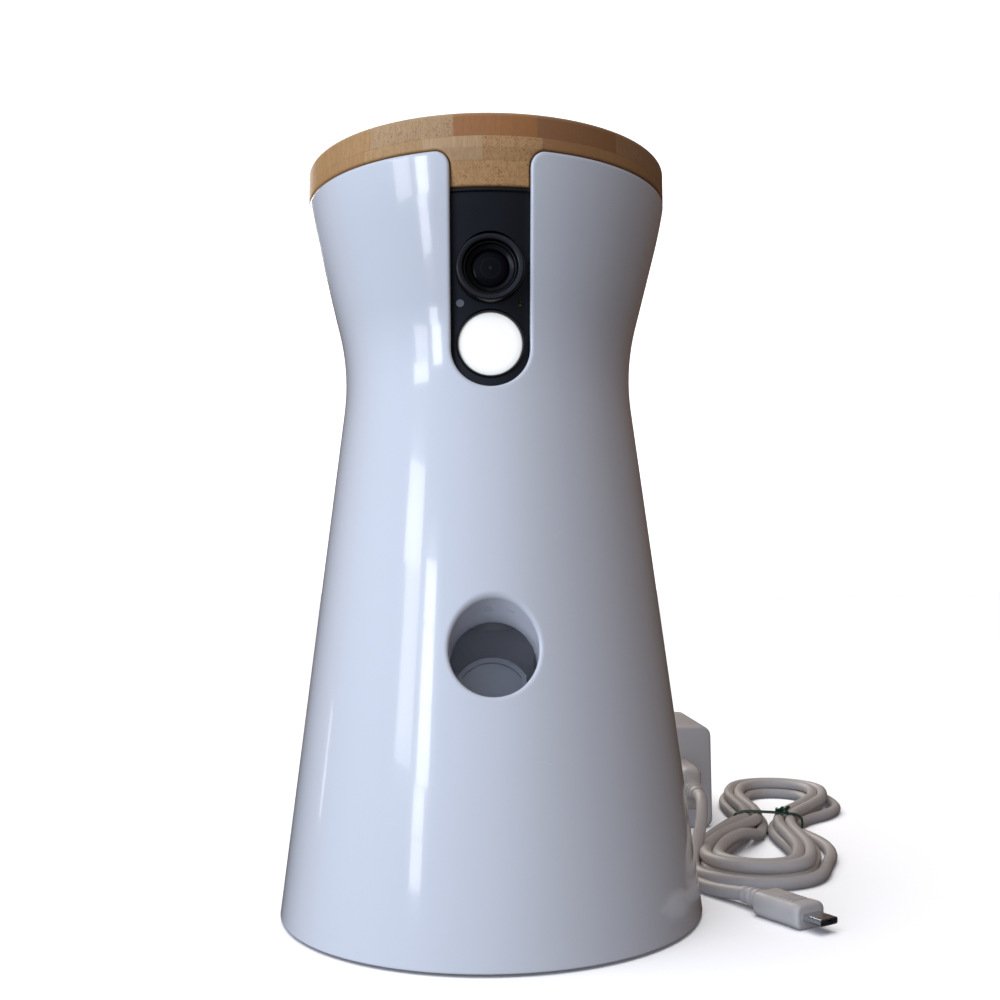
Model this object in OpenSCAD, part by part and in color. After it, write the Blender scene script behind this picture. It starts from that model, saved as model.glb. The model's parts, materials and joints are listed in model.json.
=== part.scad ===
// Treat tossing pet camera: tapered shell, wooden lid over a treat hopper,
// camera strip, sloped launch tunnel, spring launcher, and its power adapter
// with a tied power cord. Front faces -Y, up is +Z, millimetres.

/* [Body] */
// Radius of the shell at its foot
base_r = 63.4; // [60:0.1:66]
// Height where the two tapers of the shell would meet
waist_z = 163.7; // [155:0.1:170]
// Lean of the lower cone, in degrees
lower_lean = 7.1; // [6:0.1:8]
// Flare of the upper cone, in degrees
upper_lean = 14.7; // [13:0.1:16]
// Blend radius between the two cones
waist_blend = 70; // [50:1:90]
// Height of the shell's top rim
rim_z = 215; // [213:0.5:216]
// Flare left at the rim, in degrees
rim_lean = 9.6; // [8:0.1:11]
// Wall thickness of the shell
wall = 2.8; // [2.4:0.1:3]

/* [Lid] */
// Radius of the wooden lid
lid_r = 55.6; // [55:0.1:56]
// Overall height with the lid on
total_z = 225; // [223:0.5:227]
// Underside of the wood
lid_z = 206; // [205.5:0.1:207]
// Bevel on the lid's top edge
lid_bevel = 1.0; // [0.8:0.1:2]

/* [Camera strip] */
// Width of the slot in the shell
slot_w = 22; // [20:0.5:24]
// Radius of the shell's corners beside the slot
horn_r = 4.4; // [3:0.2:5]
// Height of the centre of the slot's round end
slot_z = 163.3; // [162:0.1:165]
// Height of the lens axis
lens_z = 185; // [183:0.5:187]
// Radius of the lens bezel
lens_r = 9.6; // [9:0.1:10]
// Height of the centre of the round sensor window
sensor_z = 164.6; // [164:0.1:165]
// Radius of the sensor window
sensor_r = 8.9; // [8:0.1:9]

/* [Launch tunnel] */
// Height of the centre of the treat hole
hole_z = 81.8; // [80:0.1:83]
// Inside radius of the tunnel
hole_r = 12; // [11.5:0.1:12]
// Rise of the tunnel towards the front, in degrees
hole_rise = 30; // [26:1:31]
// Length of the tunnel along its axis
hole_len = 17; // [15:1:18]

/* [Launcher] */
// Gear module
gear_m = 1; // [1:0.5:1]
// Teeth of the full circle of the paddle sector
sector_t = 24; // [24:1:24]
// Teeth of the winding gear
wind_t = 36; // [36:1:36]
// Teeth of the motor pinion
pinion_t = 12; // [12:1:12]
// Backlash at the pitch circle
backlash = 0.2; // [0.15:0.05:0.3]
// Length of the paddle
paddle_len = 30; // [28:0.5:31]
// Backward lean of the paddle at rest, in degrees
paddle_lean = 20; // [18:1:22]

/* [Power cord] */
// Diameter of the cord
cord_d = 4.2; // [4:0.1:4.5]
// Height of the tied hank
hank_h = 7.9; // [7.5:0.1:8.5]

/* [Hidden] */
$fn = 96;

// ---- outline of the shell -------------------------------------------------
shell_z0 = 0.8;
rk = base_r - waist_z*tan(lower_lean);
blend_t = waist_blend*tan((lower_lean + upper_lean)/2);
ta = [rk + blend_t*sin(lower_lean), waist_z - blend_t*cos(lower_lean)];
blend_c = [ta[0] + waist_blend*cos(lower_lean), ta[1] + waist_blend*sin(lower_lean)];
top_z = 200;
top_r0 = rk + (top_z - waist_z)*tan(upper_lean);
top_R = (rim_z - top_z)/(sin(upper_lean) - sin(rim_lean));
top_c = [top_r0 - top_R*cos(upper_lean), top_z + top_R*sin(upper_lean)];
// outer outline from the foot to the rim, drawn in by d
function outline(d, z0) = concat(
    [[base_r - z0*tan(lower_lean) - d, z0]],
    [for (i = [0:12]) let (a = lower_lean - i*(lower_lean + upper_lean)/12)
        [blend_c[0] - waist_blend*cos(a) - d, blend_c[1] - waist_blend*sin(a)]],
    [for (i = [0:6]) let (a = upper_lean - i*(upper_lean - rim_lean)/6)
        [top_c[0] + top_R*cos(a) - d, top_c[1] - top_R*sin(a)]]);
function rev(v) = [for (i = [len(v) - 1:-1:0]) v[i]];
wd = wall + 0.05;
rim_r = top_c[0] + top_R*cos(rim_lean);
foot_out = base_r - shell_z0*tan(lower_lean);

// radius of the outer face near the rim
function upper_r(z) = top_c[0] + sqrt(top_R*top_R - (top_c[1] - z)*(top_c[1] - z));
function key_r(z) = upper_r(z) - 1.8;
module spun(pts) rotate_extrude($fn = 180) polygon(pts);
module solid_outline(d, z0 = -5, z1 = 240)
    spun(concat([[0, z0], [base_r - z0*tan(lower_lean) - d, z0]], [for (p = outline(d, 1)) p],
        [[rim_r - d + (z1 - rim_z)*tan(rim_lean), z1], [0, z1]]));

// round bar along Y from y0 to y1, centred on x, z
module bar_y(r, y0, y1, x = 0, z = 0, f = 48)
    translate([x, y0, z]) rotate([-90, 0, 0]) cylinder(r = r, h = y1 - y0, $fn = f);
// round bar along X
module bar_x(r, x0, x1, y = 0, z = 0, f = 48)
    translate([x0, y, z]) rotate([0, 90, 0]) cylinder(r = r, h = x1 - x0, $fn = f);
// box between two corners
module bx(a, b) translate(a) cube([b[0] - a[0], b[1] - a[1], b[2] - a[2]]);
// rectangle with round corners, centred
module rr(w, h, r, f = 32) {
    square([w - 2*r, h], center = true);
    square([w, h - 2*r], center = true);
    for (x = [-1, 1], y = [-1, 1]) translate([x*(w/2 - r), y*(h/2 - r)]) circle(r = r, $fn = f);
}
// lathe part whose axis points to the front; profile points are [radius, distance ahead]
module faced(pts, y, z, x = 0)
    translate([x, y, z]) rotate([90, 0, 0]) rotate_extrude($fn = 64) polygon(pts);

// ---- casing ---------------------------------------------------------------
tun_o = [0, -(base_r - hole_z*tan(lower_lean)), hole_z];
tun_d = [0, cos(hole_rise), -sin(hole_rise)];
// bar along the tunnel's axis, from a to b measured inwards from the shell's face
module tunnel_bar(r, a, b)
    translate(tun_o) rotate([-(90 + hole_rise), 0, 0]) translate([0, 0, a]) cylinder(r = r, h = b - a, $fn = 72);

module slot_shape() {
    translate([0, slot_z]) circle(r = slot_w/2, $fn = 64);
    translate([-slot_w/2, slot_z]) square([slot_w, 80]);
    difference() {
        translate([-slot_w/2 - horn_r, rim_z - horn_r]) square([slot_w + 2*horn_r, 20]);
        for (s = [-1, 1]) translate([s*(slot_w/2 + horn_r), rim_z - horn_r]) circle(r = horn_r, $fn = 48);
    }
}

grille_z = 112;
module outer_shell() color([0.92, 0.93, 0.96]) difference() {
    spun(concat(
        [[foot_out, shell_z0]],
        [for (i = [1:len(outline(0, 1)) - 2]) outline(0, 1)[i]],
        [[rim_r - 0.15, rim_z - 0.9], [rim_r - 0.8, rim_z - 0.1], [rim_r - 1.3, rim_z], [rim_r - wd + 0.6, rim_z], [rim_r - wd, rim_z - 0.6]],
        [for (i = [len(outline(wd, 1)) - 2:-1:1]) outline(wd, 1)[i]],
        [[foot_out - wd, shell_z0]]));
    translate([0, 5, 0]) rotate([90, 0, 0]) linear_extrude(height = 80) slot_shape();
    tunnel_bar(hole_r + 1.3, -20, 14);
    // opening for the power plug, at the back
    translate([0, 45, 10]) rotate([-90, 0, 0]) linear_extrude(height = 30) rr(14, 10, 2);
    bar_y(3.3, 45, 75, 0, 30);
    // sound holes
    for (q = [0:3]) for (k = [0:max(0, 6*q - 1)]) let (a = q == 0 ? 0 : k*60/q, rr0 = q*4)
        bar_y(1, 30, 60, rr0*cos(a), grille_z + rr0*sin(a), 24);
}

module treat_tube() color([0.9, 0.91, 0.93]) intersection() {
    difference() {
        tunnel_bar(hole_r + 1.3, -12, hole_len);
        tunnel_bar(hole_r, -14, hole_len + 2);
        // the inner end is cut back at its top
        translate(tun_o) rotate([-(90 + hole_rise), 0, 0]) translate([0, 0, hole_len - 3.25]) rotate([15.3, 0, 0])
            translate([-20, -30, 0]) cube([40, 60, 30]);
    }
    solid_outline(0);
}

module base_plate() color([0.85, 0.86, 0.88]) difference() {
    union() {
        translate([0, 0, 2.6]) cylinder(r = 59.6, h = 2.4, $fn = 128);
        difference() { translate([0, 0, 5]) cylinder(r = 59, h = 3, $fn = 128); translate([0, 0, 4]) cylinder(r = 57, h = 6, $fn = 128); }
    }
    for (a = [45:90:315]) rotate(a) translate([52, 0, 0]) { cylinder(r = 1.7, h = 12, $fn = 32); translate([0, 0, 1]) cylinder(r = 3.1, h = 2.8, $fn = 32); }
    for (i = [-3:3]) translate([i*6 - 1, -14, 1]) cube([2, 28, 6]);
    bx([-9, 50, 5], [9, 62, 12]);
}
module foot_ring() color([0.15, 0.15, 0.16]) difference() {
    cylinder(r = 47, h = 2.6, $fn = 128);
    translate([0, 0, -1]) cylinder(r = 38, h = 5, $fn = 128);
}
module light_ring() color([0.95, 0.93, 0.8]) difference() {
    translate([0, 0, 1]) cylinder(r = 59.6, h = 1.6, $fn = 128);
    translate([0, 0, 0]) cylinder(r = 56, h = 4, $fn = 128);
}
module ballast() color([0.55, 0.56, 0.58]) difference() {
    translate([0, 0, 5]) cylinder(r = 42, h = 6, $fn = 96);
    translate([0, 0, 4]) cylinder(r = 20, h = 9, $fn = 64);
}

// ---- inner frame and hopper -------------------------------------------------
hop_y = 6;
frame_top = 138;
module inner_frame() color([0.78, 0.79, 0.8]) {
    difference() {
        translate([0, 0, 5]) cylinder(r = 55.5, h = 4, $fn = 96);
        translate([0, 0, 4]) cylinder(r = 43, h = 6, $fn = 96);
        for (a = [45:90:315]) rotate(a) translate([52, 0, 0]) cylinder(r = 1.3, h = 12, $fn = 32);
        bx([-9, 30, 4], [9, 62, 12]);
    }
    for (s = [-1, 1]) {
        difference() {
            translate([s*44.5 - 2, -8, 9]) cube([4, 16, 60]);
            bar_x(3, -60, 60, 0, 25); bar_x(3, -60, 60, 0, 45);
        }
        translate([s*36.5 - 10, -8, 66]) cube([20, 16, 3]);
        translate([s*29 - 2, -8, 69]) cube([4, 16, frame_top - 3 - 69]);
        bx([s > 0 ? 14.05 : -16.5, 34.5, 104], [s > 0 ? 16.5 : -14.05, 40.2, 138]);
        bx([s > 0 ? 14.05 : -16.5, 26, 135], [s > 0 ? 16.5 : -14.05, 34.6, 138]);
    }
    difference() {
        translate([0, hop_y, frame_top - 3]) cylinder(r = 31, h = 3, $fn = 96);
        translate([0, -8.5, frame_top - 4]) cylinder(r = 9, h = 5, $fn = 48);
        bx([-6.2, 0.8, frame_top - 4], [6.2, 11.2, frame_top + 1]);
        for (a = [30:120:270]) translate([0, hop_y, 0]) rotate(a) translate([27.5, 0, frame_top - 4]) cylinder(r = 1.1, h = 5, $fn = 32);
    }
}
hop_in = [[23.4, 141.2], [23.4, 154], [36, 186], [36, 204]];
hop_out = [[25, 139.9], [25, 155], [37.5, 187], [37.5, 201]];
module hopper() color([0.88, 0.89, 0.9]) difference() {
    union() {
        translate([0, hop_y, 0]) spun(concat([[0, frame_top + 0], [25, frame_top]], hop_out, [[0, 201]]));
        intersection() {
            translate([0, 0, 201]) cylinder(r = 60, h = 2.6, $fn = 96);
            solid_outline(wd + 0.3);
        }
        for (a = [30:120:270]) translate([0, hop_y, frame_top]) rotate(a) translate([27.5, 0, 0]) difference() {
            cylinder(r = 3, h = 5, $fn = 32); translate([0, 0, -1]) cylinder(r = 1.1, h = 7, $fn = 32);
        }
    }
    translate([0, hop_y, 0]) spun(concat([[0, 141.2]], hop_in, [[0, 204]]));
    translate([0, -8.5, 130]) cylinder(r = 7, h = 20, $fn = 48);
    translate([0, hop_y, 130]) cylinder(r = 2.6, h = 20, $fn = 48);
    bx([-16, -60, 195], [16, -33.6, 210]);
}
module hopper_rotor() color([0.95, 0.6, 0.2]) {
    difference() {
        translate([0, hop_y, 141.6]) cylinder(r = 23, h = 11.4, $fn = 96);
        for (a = [-90:60:230]) translate([0, hop_y, 0]) rotate(a) translate([14.5, 0, 140]) cylinder(r = 6.4, h = 20, $fn = 48);
    }
    translate([0, hop_y, 152.9]) cylinder(r1 = 6, r2 = 2, h = 6, $fn = 48);
    translate([0, hop_y, 131]) cylinder(r = 2.5, h = 11, $fn = 48);
}
module rotor_motor() color([0.6, 0.6, 0.62]) difference() {
    union() {
        bx([-6, 1, 112], [6, 11, frame_top - 0.1]);
        translate([0, hop_y, 104]) cylinder(r = 4.9, h = 8, $fn = 48);
    }
    translate([0, hop_y, 130.5]) cylinder(r = 2.56, h = 12, $fn = 48);
}
module treat_chute() color([0.85, 0.86, 0.87]) difference() {
    union() {
        translate([0, -8.5, 84]) cylinder(r = 8, h = frame_top - 84, $fn = 64);
        translate([-16, -18, 98]) cube([32, 18.5, 2.4]);
    }
    translate([0, -8.5, 80]) cylinder(r = 7, h = 70, $fn = 64);
}

// ---- launcher -------------------------------------------------------------
piv = [-32.3, 47.8];           // paddle pivot, as [y, z]
mesh_a = 10;                   // direction from the pivot to the winding gear
wnd = [piv[0] + gear_m*(sector_t + wind_t)/2*cos(mesh_a), piv[1] + gear_m*(sector_t + wind_t)/2*sin(mesh_a)];
pin_a = 15;                    // direction from the winding gear to the pinion
pin = [wnd[0] + gear_m*(wind_t + pinion_t)/2*cos(pin_a), wnd[1] + gear_m*(wind_t + pinion_t)/2*sin(pin_a)];
press_a = 25;                  // pressure angle
deg = 180/PI;
function inv_at(r, rb) = let (t = sqrt(max(0, pow(r/rb, 2) - 1))) t*deg - atan(t);
function half_at(r, z) = let (rp = gear_m*z/2, rb = rp*cos(press_a))
    90/z - backlash/2/rp*deg + inv_at(rp, rb) - inv_at(max(r, rb), rb);
function pol(r, a) = [r*cos(a), r*sin(a)];
// one tooth centred on angle a, foot to foot
function tooth(z, a) = let (rp = gear_m*z/2, rb = rp*cos(press_a), rf = rp - 1.15*gear_m, ra = rp + 0.85*gear_m, r0 = max(rb, rf))
    concat([pol(rf, a - half_at(r0, z))],
        [for (i = [0:4]) let (r = r0 + i*(ra - r0)/4) pol(r, a - half_at(r, z))],
        [for (i = [4:-1:0]) let (r = r0 + i*(ra - r0)/4) pol(r, a + half_at(r, z))],
        [pol(rf, a + half_at(r0, z))]);
// gear outline with the teeth first .. last, the rest of the rim plain
module gear2d(z, a0, first, last) let (step = 360/z, rf = gear_m*z/2 - 1.15*gear_m)
    polygon([for (i = [0:z - 1]) each (i >= first && i <= last) ? tooth(z, a0 + i*step)
        : [pol(rf, a0 + i*step - step/4), pol(rf, a0 + i*step + step/4)]]);
module geared(c, z, a0, first, last, x0, x1)
    translate([x0, c[0], c[1]]) rotate([90, 0, 90]) linear_extrude(height = x1 - x0) gear2d(z, a0, first, last);

module launcher_frame() color([0.3, 0.31, 0.33]) difference() {
    union() {
        bx([-16, -40, 38], [-14, 8, 98]);
        bx([14, -40, 38], [16, 33, 98]);
        bx([-16, -40, 36], [16, 33, 38]);
        bx([-14, 6, 38], [14, 8, 98]);
        for (x = [-15, 13], y = [-34, 24]) bx([x, y, 11], [x + 2, y + 6, 36]);
    }
    bar_x(2.05, -20, 20, piv[0], piv[1]);
    bar_x(2, 10, 20, wnd[0], wnd[1]);
    bar_x(3, 10, 20, pin[0], pin[1]);
}
module paddle_face(r, w, low = 0) intersection() {
    translate([0, paddle_len - 12]) circle(r = r, $fn = 64);
    translate([-w/2, 10 - low]) square([w, paddle_len - 9 + low]);
}
module paddle() color([0.75, 0.76, 0.78]) difference() {
    union() {
        translate([0, piv[0], piv[1]]) rotate([-paddle_lean, 0, 0]) {
            translate([0, 1, 0]) rotate([90, 0, 0]) linear_extrude(height = 2) paddle_face(12, 20);
            translate([-10, -1, 2.7]) cube([20, 2, 12]);
            // raised rim round the face, and its two legs
            translate([0, -0.4, 0]) rotate([90, 0, 0]) linear_extrude(height = 1.7) difference() { paddle_face(11.8, 19.6); paddle_face(10.4, 17, 1); }
            for (s = [-1, 1]) translate([s*9.15 - 0.55, -1.9, 2.5]) cube([1.1, 1.9, 9]);
            translate([-1, 0.5, 2.6]) cube([2, 2.2, paddle_len - 10]);
        }
        bar_x(4, -10.4, 13.6, piv[0], piv[1]);
    }
    bar_x(2, -20, 20, piv[0], piv[1]);
}
module paddle_pin() color([0.7, 0.7, 0.72]) bar_x(2, -17.5, 22, piv[0], piv[1]);
module sector_gear() color([0.9, 0.88, 0.8]) difference() {
    geared(piv, sector_t, mesh_a, -1, 5, 17, 21);
    // cleared back, away from the teeth
    translate([16, piv[0], piv[1]]) rotate([180, 0, 0]) translate([0, -20, 7]) cube([6, 40, 20]);
    bar_x(2, 10, 30, piv[0], piv[1]);
}
module launch_spring() color([0.6, 0.6, 0.62]) {
    for (i = [0:2]) translate([-13.3 + i*1.05, piv[0], piv[1]]) rotate([0, 90, 0]) rotate_extrude($fn = 48) translate([3, 0]) circle(r = 0.53, $fn = 16);
    translate([-13.3, piv[0], piv[1] + 3]) rotate([-90, 0, 0]) cylinder(r = 0.5, h = 9, $fn = 16);
}
module wind_gear() color([0.9, 0.88, 0.8]) difference() {
    union() {
        geared(wnd, wind_t, 5, 0, wind_t - 1, 17.4, 20.6);
        bar_x(5, 16.3, 21.6, wnd[0], wnd[1]);
    }
    bar_x(2.06, 10, 30, wnd[0], wnd[1]);
}
module gear_axle() color([0.7, 0.7, 0.72]) { bar_x(2, 14, 22.8, wnd[0], wnd[1]); bar_x(3.4, 21.8, 22.8, wnd[0], wnd[1]); }
module motor_pinion() color([0.85, 0.7, 0.35]) {
    geared(pin, pinion_t, 0, 0, pinion_t - 1, 17, 21);
    bar_x(1, 5, 17.1, pin[0], pin[1]);
}
module launcher_motor() color([0.6, 0.6, 0.62]) difference() {
    union() { bar_x(10, -16, 13.9, pin[0], pin[1]); bar_x(2.6, 13.8, 15.6, pin[0], pin[1]); bar_x(3, -18, -16, pin[0], pin[1]); }
    bar_x(1.06, 4, 20, pin[0], pin[1]);
}
module gear_cover() color([0.3, 0.31, 0.33]) {
    difference() {
        union() {
            bx([24, -40, 38], [25.6, 28, 74]);
            for (p = [[-38, 72], [26, 72], [26, 40]]) bar_x(1.8, 16, 24.1, p[0], p[1]);
        }
        bar_x(3, 20, 30, piv[0], piv[1]);
    }
}

// ---- camera strip ---------------------------------------------------------
pd = wd + 0.3;                 // how far the strip sits behind the shell's outer face
module camera_panel() color([0.08, 0.09, 0.11]) difference() {
    intersection() {
        difference() { solid_outline(pd); solid_outline(pd + 2); }
        bx([-14.5, -60, 150], [14.5, -20, 205.4]);
    }
    bar_y(lens_r, -60, -20, 0, lens_z, 64);
    bar_y(sensor_r + 0.7, -60, -20, 0, sensor_z, 64);
    bar_y(1.1, -60, -20, -8.4, 175.7, 24);
    bar_y(0.7, -60, -20, 8.4, 175.7, 24);
}
// reach of the lens ahead of the body's axis
lens_y = -47.6;
module lens_bezel() color([0.1, 0.1, 0.12])
    faced([[7.6, 0.85], [7.9, 1.2], [8.9, 1.4], [9.3, 1.2], [lens_r, 0.7], [lens_r, -6], [7.6, -6]], lens_y + 1.75, lens_z);
module lens_ring() color([0.05, 0.05, 0.06])
    faced([[5.2, -1.5], [5.5, -1.1], [6.7, -0.7], [6.95, -0.15], [7.35, 0], [7.6, -0.25], [7.6, -6], [5.2, -6]], lens_y + 1.75, lens_z);
module lens_glass() color([0.1, 0.12, 0.2])
    faced(concat([[0, -6]], [[5.2, -6], [5.2, -1.8]], [for (i = [1:6]) [5.2*cos(i*15), -1.8 + 1.1*sin(i*15)]]), lens_y + 1.75, lens_z);
module lens_barrel() color([0.12, 0.12, 0.13]) bar_y(7.4, lens_y + 7.75, -36.4, 0, lens_z);
module camera_board() color([0.1, 0.35, 0.2]) difference() {
    bx([-13, -36.4, 158], [13, -35, 197]);
    for (x = [-10.5, 10.5], z = [160.5, 194.5]) bar_y(1.1, -40, -30, x, z, 24);
}
module sensor_bezel() color([0.06, 0.06, 0.07])
    faced([[sensor_r, -0.2], [sensor_r + 0.35, 0.2], [sensor_r + 0.7, 0], [sensor_r + 0.7, -4.5], [sensor_r, -4.5]], -41.6, sensor_z);
module sensor_window() color([0.97, 0.97, 0.98])
    faced([[0, -4.5], [sensor_r, -4.5], [sensor_r, -0.7], [sensor_r*0.8, -0.5], [sensor_r*0.4, -0.35], [0, -0.3]], -41.6, sensor_z);
module light_sensor() color([0.6, 0.62, 0.64]) bar_y(1.1, -42.5, -40, -8.4, 175.7, 24);
module microphone() color([0.7, 0.65, 0.4]) bx([6.4, -38.6, 173.5], [10.4, -37.2, 177.9]);

// ---- electronics ----------------------------------------------------------
module main_board() color([0.1, 0.35, 0.2]) difference() {
    bx([-22, 34, 11], [22, 35.6, 96]);
    for (x = [-19, 19], z = [17, 93]) bar_y(1.6, 30, 40, x, z, 24);
}
module shield_can() color([0.75, 0.75, 0.76]) bx([-12, 35.6, 56], [12, 38.4, 84]);
module speaker() color([0.2, 0.2, 0.21]) {
    faced([[0, -1], [5, -1], [11, 2.2], [14, 2.2], [14, 0], [12.5, -1.5], [9, -6], [0, -6]], 0, 0, 0);
}
module usb_socket() color([0.7, 0.7, 0.72]) {
    difference() {
        translate([0, 50, 10]) rotate([-90, 0, 0]) linear_extrude(height = 6) rr(7.6, 3, 0.8);
        translate([0, 51, 10]) rotate([-90, 0, 0]) linear_extrude(height = 6) rr(7, 2.4, 0.5);
    }
    bx([-3, 50.8, 9.6], [3, 55, 10.2]);
    bx([-8, 44, 7.2], [8, 56, 8.5]);
    for (x = [-8, 6]) bx([x, 44, 5], [x + 2, 49, 7.3]);
}
btn_y = base_r - 30*tan(lower_lean);
module reset_button() color([0.8, 0.81, 0.83]) {
    bar_y(3, 54, btn_y + 0.5, 0, 30);
    bar_y(4.4, 53.6, 55.2, 0, 30);
}
module reset_switch() color([0.15, 0.15, 0.16]) { bx([-3, 48, 27], [3, 51.6, 33]); bar_y(1.6, 51.5, 52.4, 0, 30, 32); bx([-3, 35.6, 29], [3, 48, 31]); }

// ---- lid ------------------------------------------------------------------
// outline of the lid's key, which fills the top of the slot with a gap all round
module key_shape() {
    g = 0.4;
    difference() {
        translate([-slot_w/2 - horn_r, lid_z - 0.2]) square([slot_w + 2*horn_r, rim_z - lid_z + 1.8]);
        for (s = [-1, 1]) {
            translate([s*(slot_w/2 + horn_r), rim_z - horn_r]) circle(r = horn_r + g, $fn = 48);
            translate([s*(slot_w/2 + horn_r) - horn_r - g, lid_z - 2]) square([2*(horn_r + g), rim_z - horn_r - lid_z + 2]);
        }
    }
}
module lid_wood() color([0.8, 0.62, 0.42]) difference() {
    union() {
        spun([[0, lid_z], [rim_r - wd - 2.6, lid_z], [rim_r - wd - 2.1, lid_z + 0.5], [rim_r - wd - 0.7, rim_z + 0.3],
            [lid_r - 0.3, rim_z + 0.3], [lid_r, rim_z + 0.6],
            [lid_r, total_z - lid_bevel], [lid_r - 0.3, total_z - 0.5], [lid_r - lid_bevel, total_z], [0, total_z]]);
        intersection() {
            spun([[rim_r - wd - 4, lid_z - 1], [key_r(lid_z - 1), lid_z - 1], [lid_r - 0.1, rim_z + 0.8], [lid_r - 0.1, rim_z + 1.5], [rim_r - wd - 4, rim_z + 1.5]]);
            translate([0, 5, 0]) rotate([90, 0, 0]) linear_extrude(height = 80) key_shape();
        }
    }
    for (a = [0:120:240]) translate([0, hop_y, 0]) rotate(a + 90) translate([22, 0, lid_z - 1]) cylinder(r = 1.2, h = 9, $fn = 32);
}
module lid_insert() color([0.85, 0.86, 0.88]) translate([0, hop_y, 0]) difference() {
    union() {
        translate([0, 0, 203.9]) cylinder(r = 38, h = lid_z - 203.9, $fn = 96);
        translate([0, 0, 195]) cylinder(r = 34.4, h = 9, $fn = 96);
    }
    translate([0, 0, 190]) cylinder(r = 32.6, h = 13.4, $fn = 96);
    difference() { translate([0, 0, 198]) cylinder(r = 40, h = 3, $fn = 96); translate([0, 0, 197]) cylinder(r = 33.6, h = 5, $fn = 96); }
    for (a = [0:120:240]) rotate(a + 90) translate([22, 0, 195]) cylinder(r = 1.5, h = 20, $fn = 32);
}
module lid_seal() color([0.8, 0.8, 0.82]) translate([0, hop_y, 0]) difference() {
    translate([0, 0, 198]) cylinder(r = 35.7, h = 3, $fn = 96);
    translate([0, 0, 197]) cylinder(r = 33.6, h = 5, $fn = 96);
}
module lid_screws() color([0.7, 0.7, 0.72]) for (a = [0:120:240]) translate([0, hop_y, 0]) rotate(a + 90) translate([22, 0, 0]) {
    translate([0, 0, 201.6]) cylinder(r = 2.8, h = 1.8, $fn = 32);
    translate([0, 0, 203.3]) cylinder(r = 1.2, h = 9.5, $fn = 32);
}
module base_screws() color([0.7, 0.7, 0.72]) for (a = [45:90:315]) rotate(a) translate([52, 0, 0]) difference() {
    union() { translate([0, 0, 2.2]) cylinder(r = 2.8, h = 1.6, $fn = 32); translate([0, 0, 3.7]) cylinder(r = 1.3, h = 5, $fn = 32); }
    for (b = [0, 90]) rotate(b) translate([-1.6, -0.3, 2]) cube([3.2, 0.6, 1]);
}
module hopper_screws() color([0.7, 0.7, 0.72]) for (a = [30:120:270]) translate([0, hop_y, frame_top]) rotate(a) translate([27.5, 0, 0]) {
    translate([0, 0, 5]) cylinder(r = 2.2, h = 1.5, $fn = 32);
    translate([0, 0, -2.5]) cylinder(r = 1.1, h = 7.6, $fn = 32);
}

// ---- adapter --------------------------------------------------------------
// The adapter stands on its long edge, with its socket to the front.
ad = [77, 125, 20];            // centre of the case
ad_w = 26; ad_l = 50; ad_h = 40;
ad_front = ad[1] - ad_l/2;
module adapter_shape(d = 0) translate([ad[0], ad[2]]) rr(ad_w - 2*d, ad_h - 2*d, 4 - d);
module adapter_case() color([0.9, 0.9, 0.92]) difference() {
    translate([0, ad_front + 39, 0]) rotate([90, 0, 0]) linear_extrude(height = 39) adapter_shape();
    bx([ad[0] - 2.9, ad_front - 1, ad[2] - 6.8], [ad[0] + 2.9, ad_front + 13.6, ad[2] + 6.8]);
    translate([0, ad_front + 40, 0]) rotate([90, 0, 0]) linear_extrude(height = 24) adapter_shape(2);
}
module adapter_cover() color([0.88, 0.88, 0.9]) difference() {
    translate([0, ad_front + ad_l, 0]) rotate([90, 0, 0]) linear_extrude(height = ad_l - 39.2) adapter_shape();
    for (s = [-1, 1]) bx([ad[0] + s*6.35 - 0.76, ad_front + 45, ad[2] - 3.2], [ad[0] + s*6.35 + 0.76, ad_front + 60, ad[2] + 3.2]);
}
module adapter_prongs() color([0.8, 0.78, 0.7]) for (s = [-1, 1]) difference() {
    bx([ad[0] + s*6.35 - 0.76, ad_front + 45, ad[2] - 3.2], [ad[0] + s*6.35 + 0.76, ad_front + ad_l + 16, ad[2] + 3.2]);
    bar_x(1.6, ad[0] + s*6.35 - 2, ad[0] + s*6.35 + 2, ad_front + ad_l + 12, ad[2], 32);
}
module adapter_port() color([0.5, 0.5, 0.52]) difference() {
    bx([ad[0] - 2.9, ad_front + 0.4, ad[2] - 6.8], [ad[0] + 2.9, ad_front + 13.6, ad[2] + 6.8]);
    bx([ad[0] - 2.3, ad_front, ad[2] - 6.1], [ad[0] + 2.3, ad_front + 12.6, ad[2] + 6.1]);
}
module usb_a_shell() color([0.75, 0.75, 0.77]) difference() {
    bx([ad[0] - 2.25, ad_front - 2, ad[2] - 6], [ad[0] + 2.25, ad_front + 10, ad[2] + 6]);
    bx([ad[0] - 1.9, ad_front - 1, ad[2] - 5.6], [ad[0] - 0.1, ad_front + 11, ad[2] + 5.6]);
}
usb_end = ad_front - 2 - 24;   // front of the plug's moulding
module usb_a_plug() color([0.85, 0.85, 0.87]) {
    translate([ad[0], ad_front - 2, ad[2]]) rotate([90, 0, 0]) linear_extrude(height = 24) rr(7.6, 15.6, 2.4);
    translate([ad[0], usb_end, ad[2]]) rotate([90, 0, 0]) cylinder(r1 = 3.6, r2 = 2.5, h = 9, $fn = 48);
}

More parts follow.
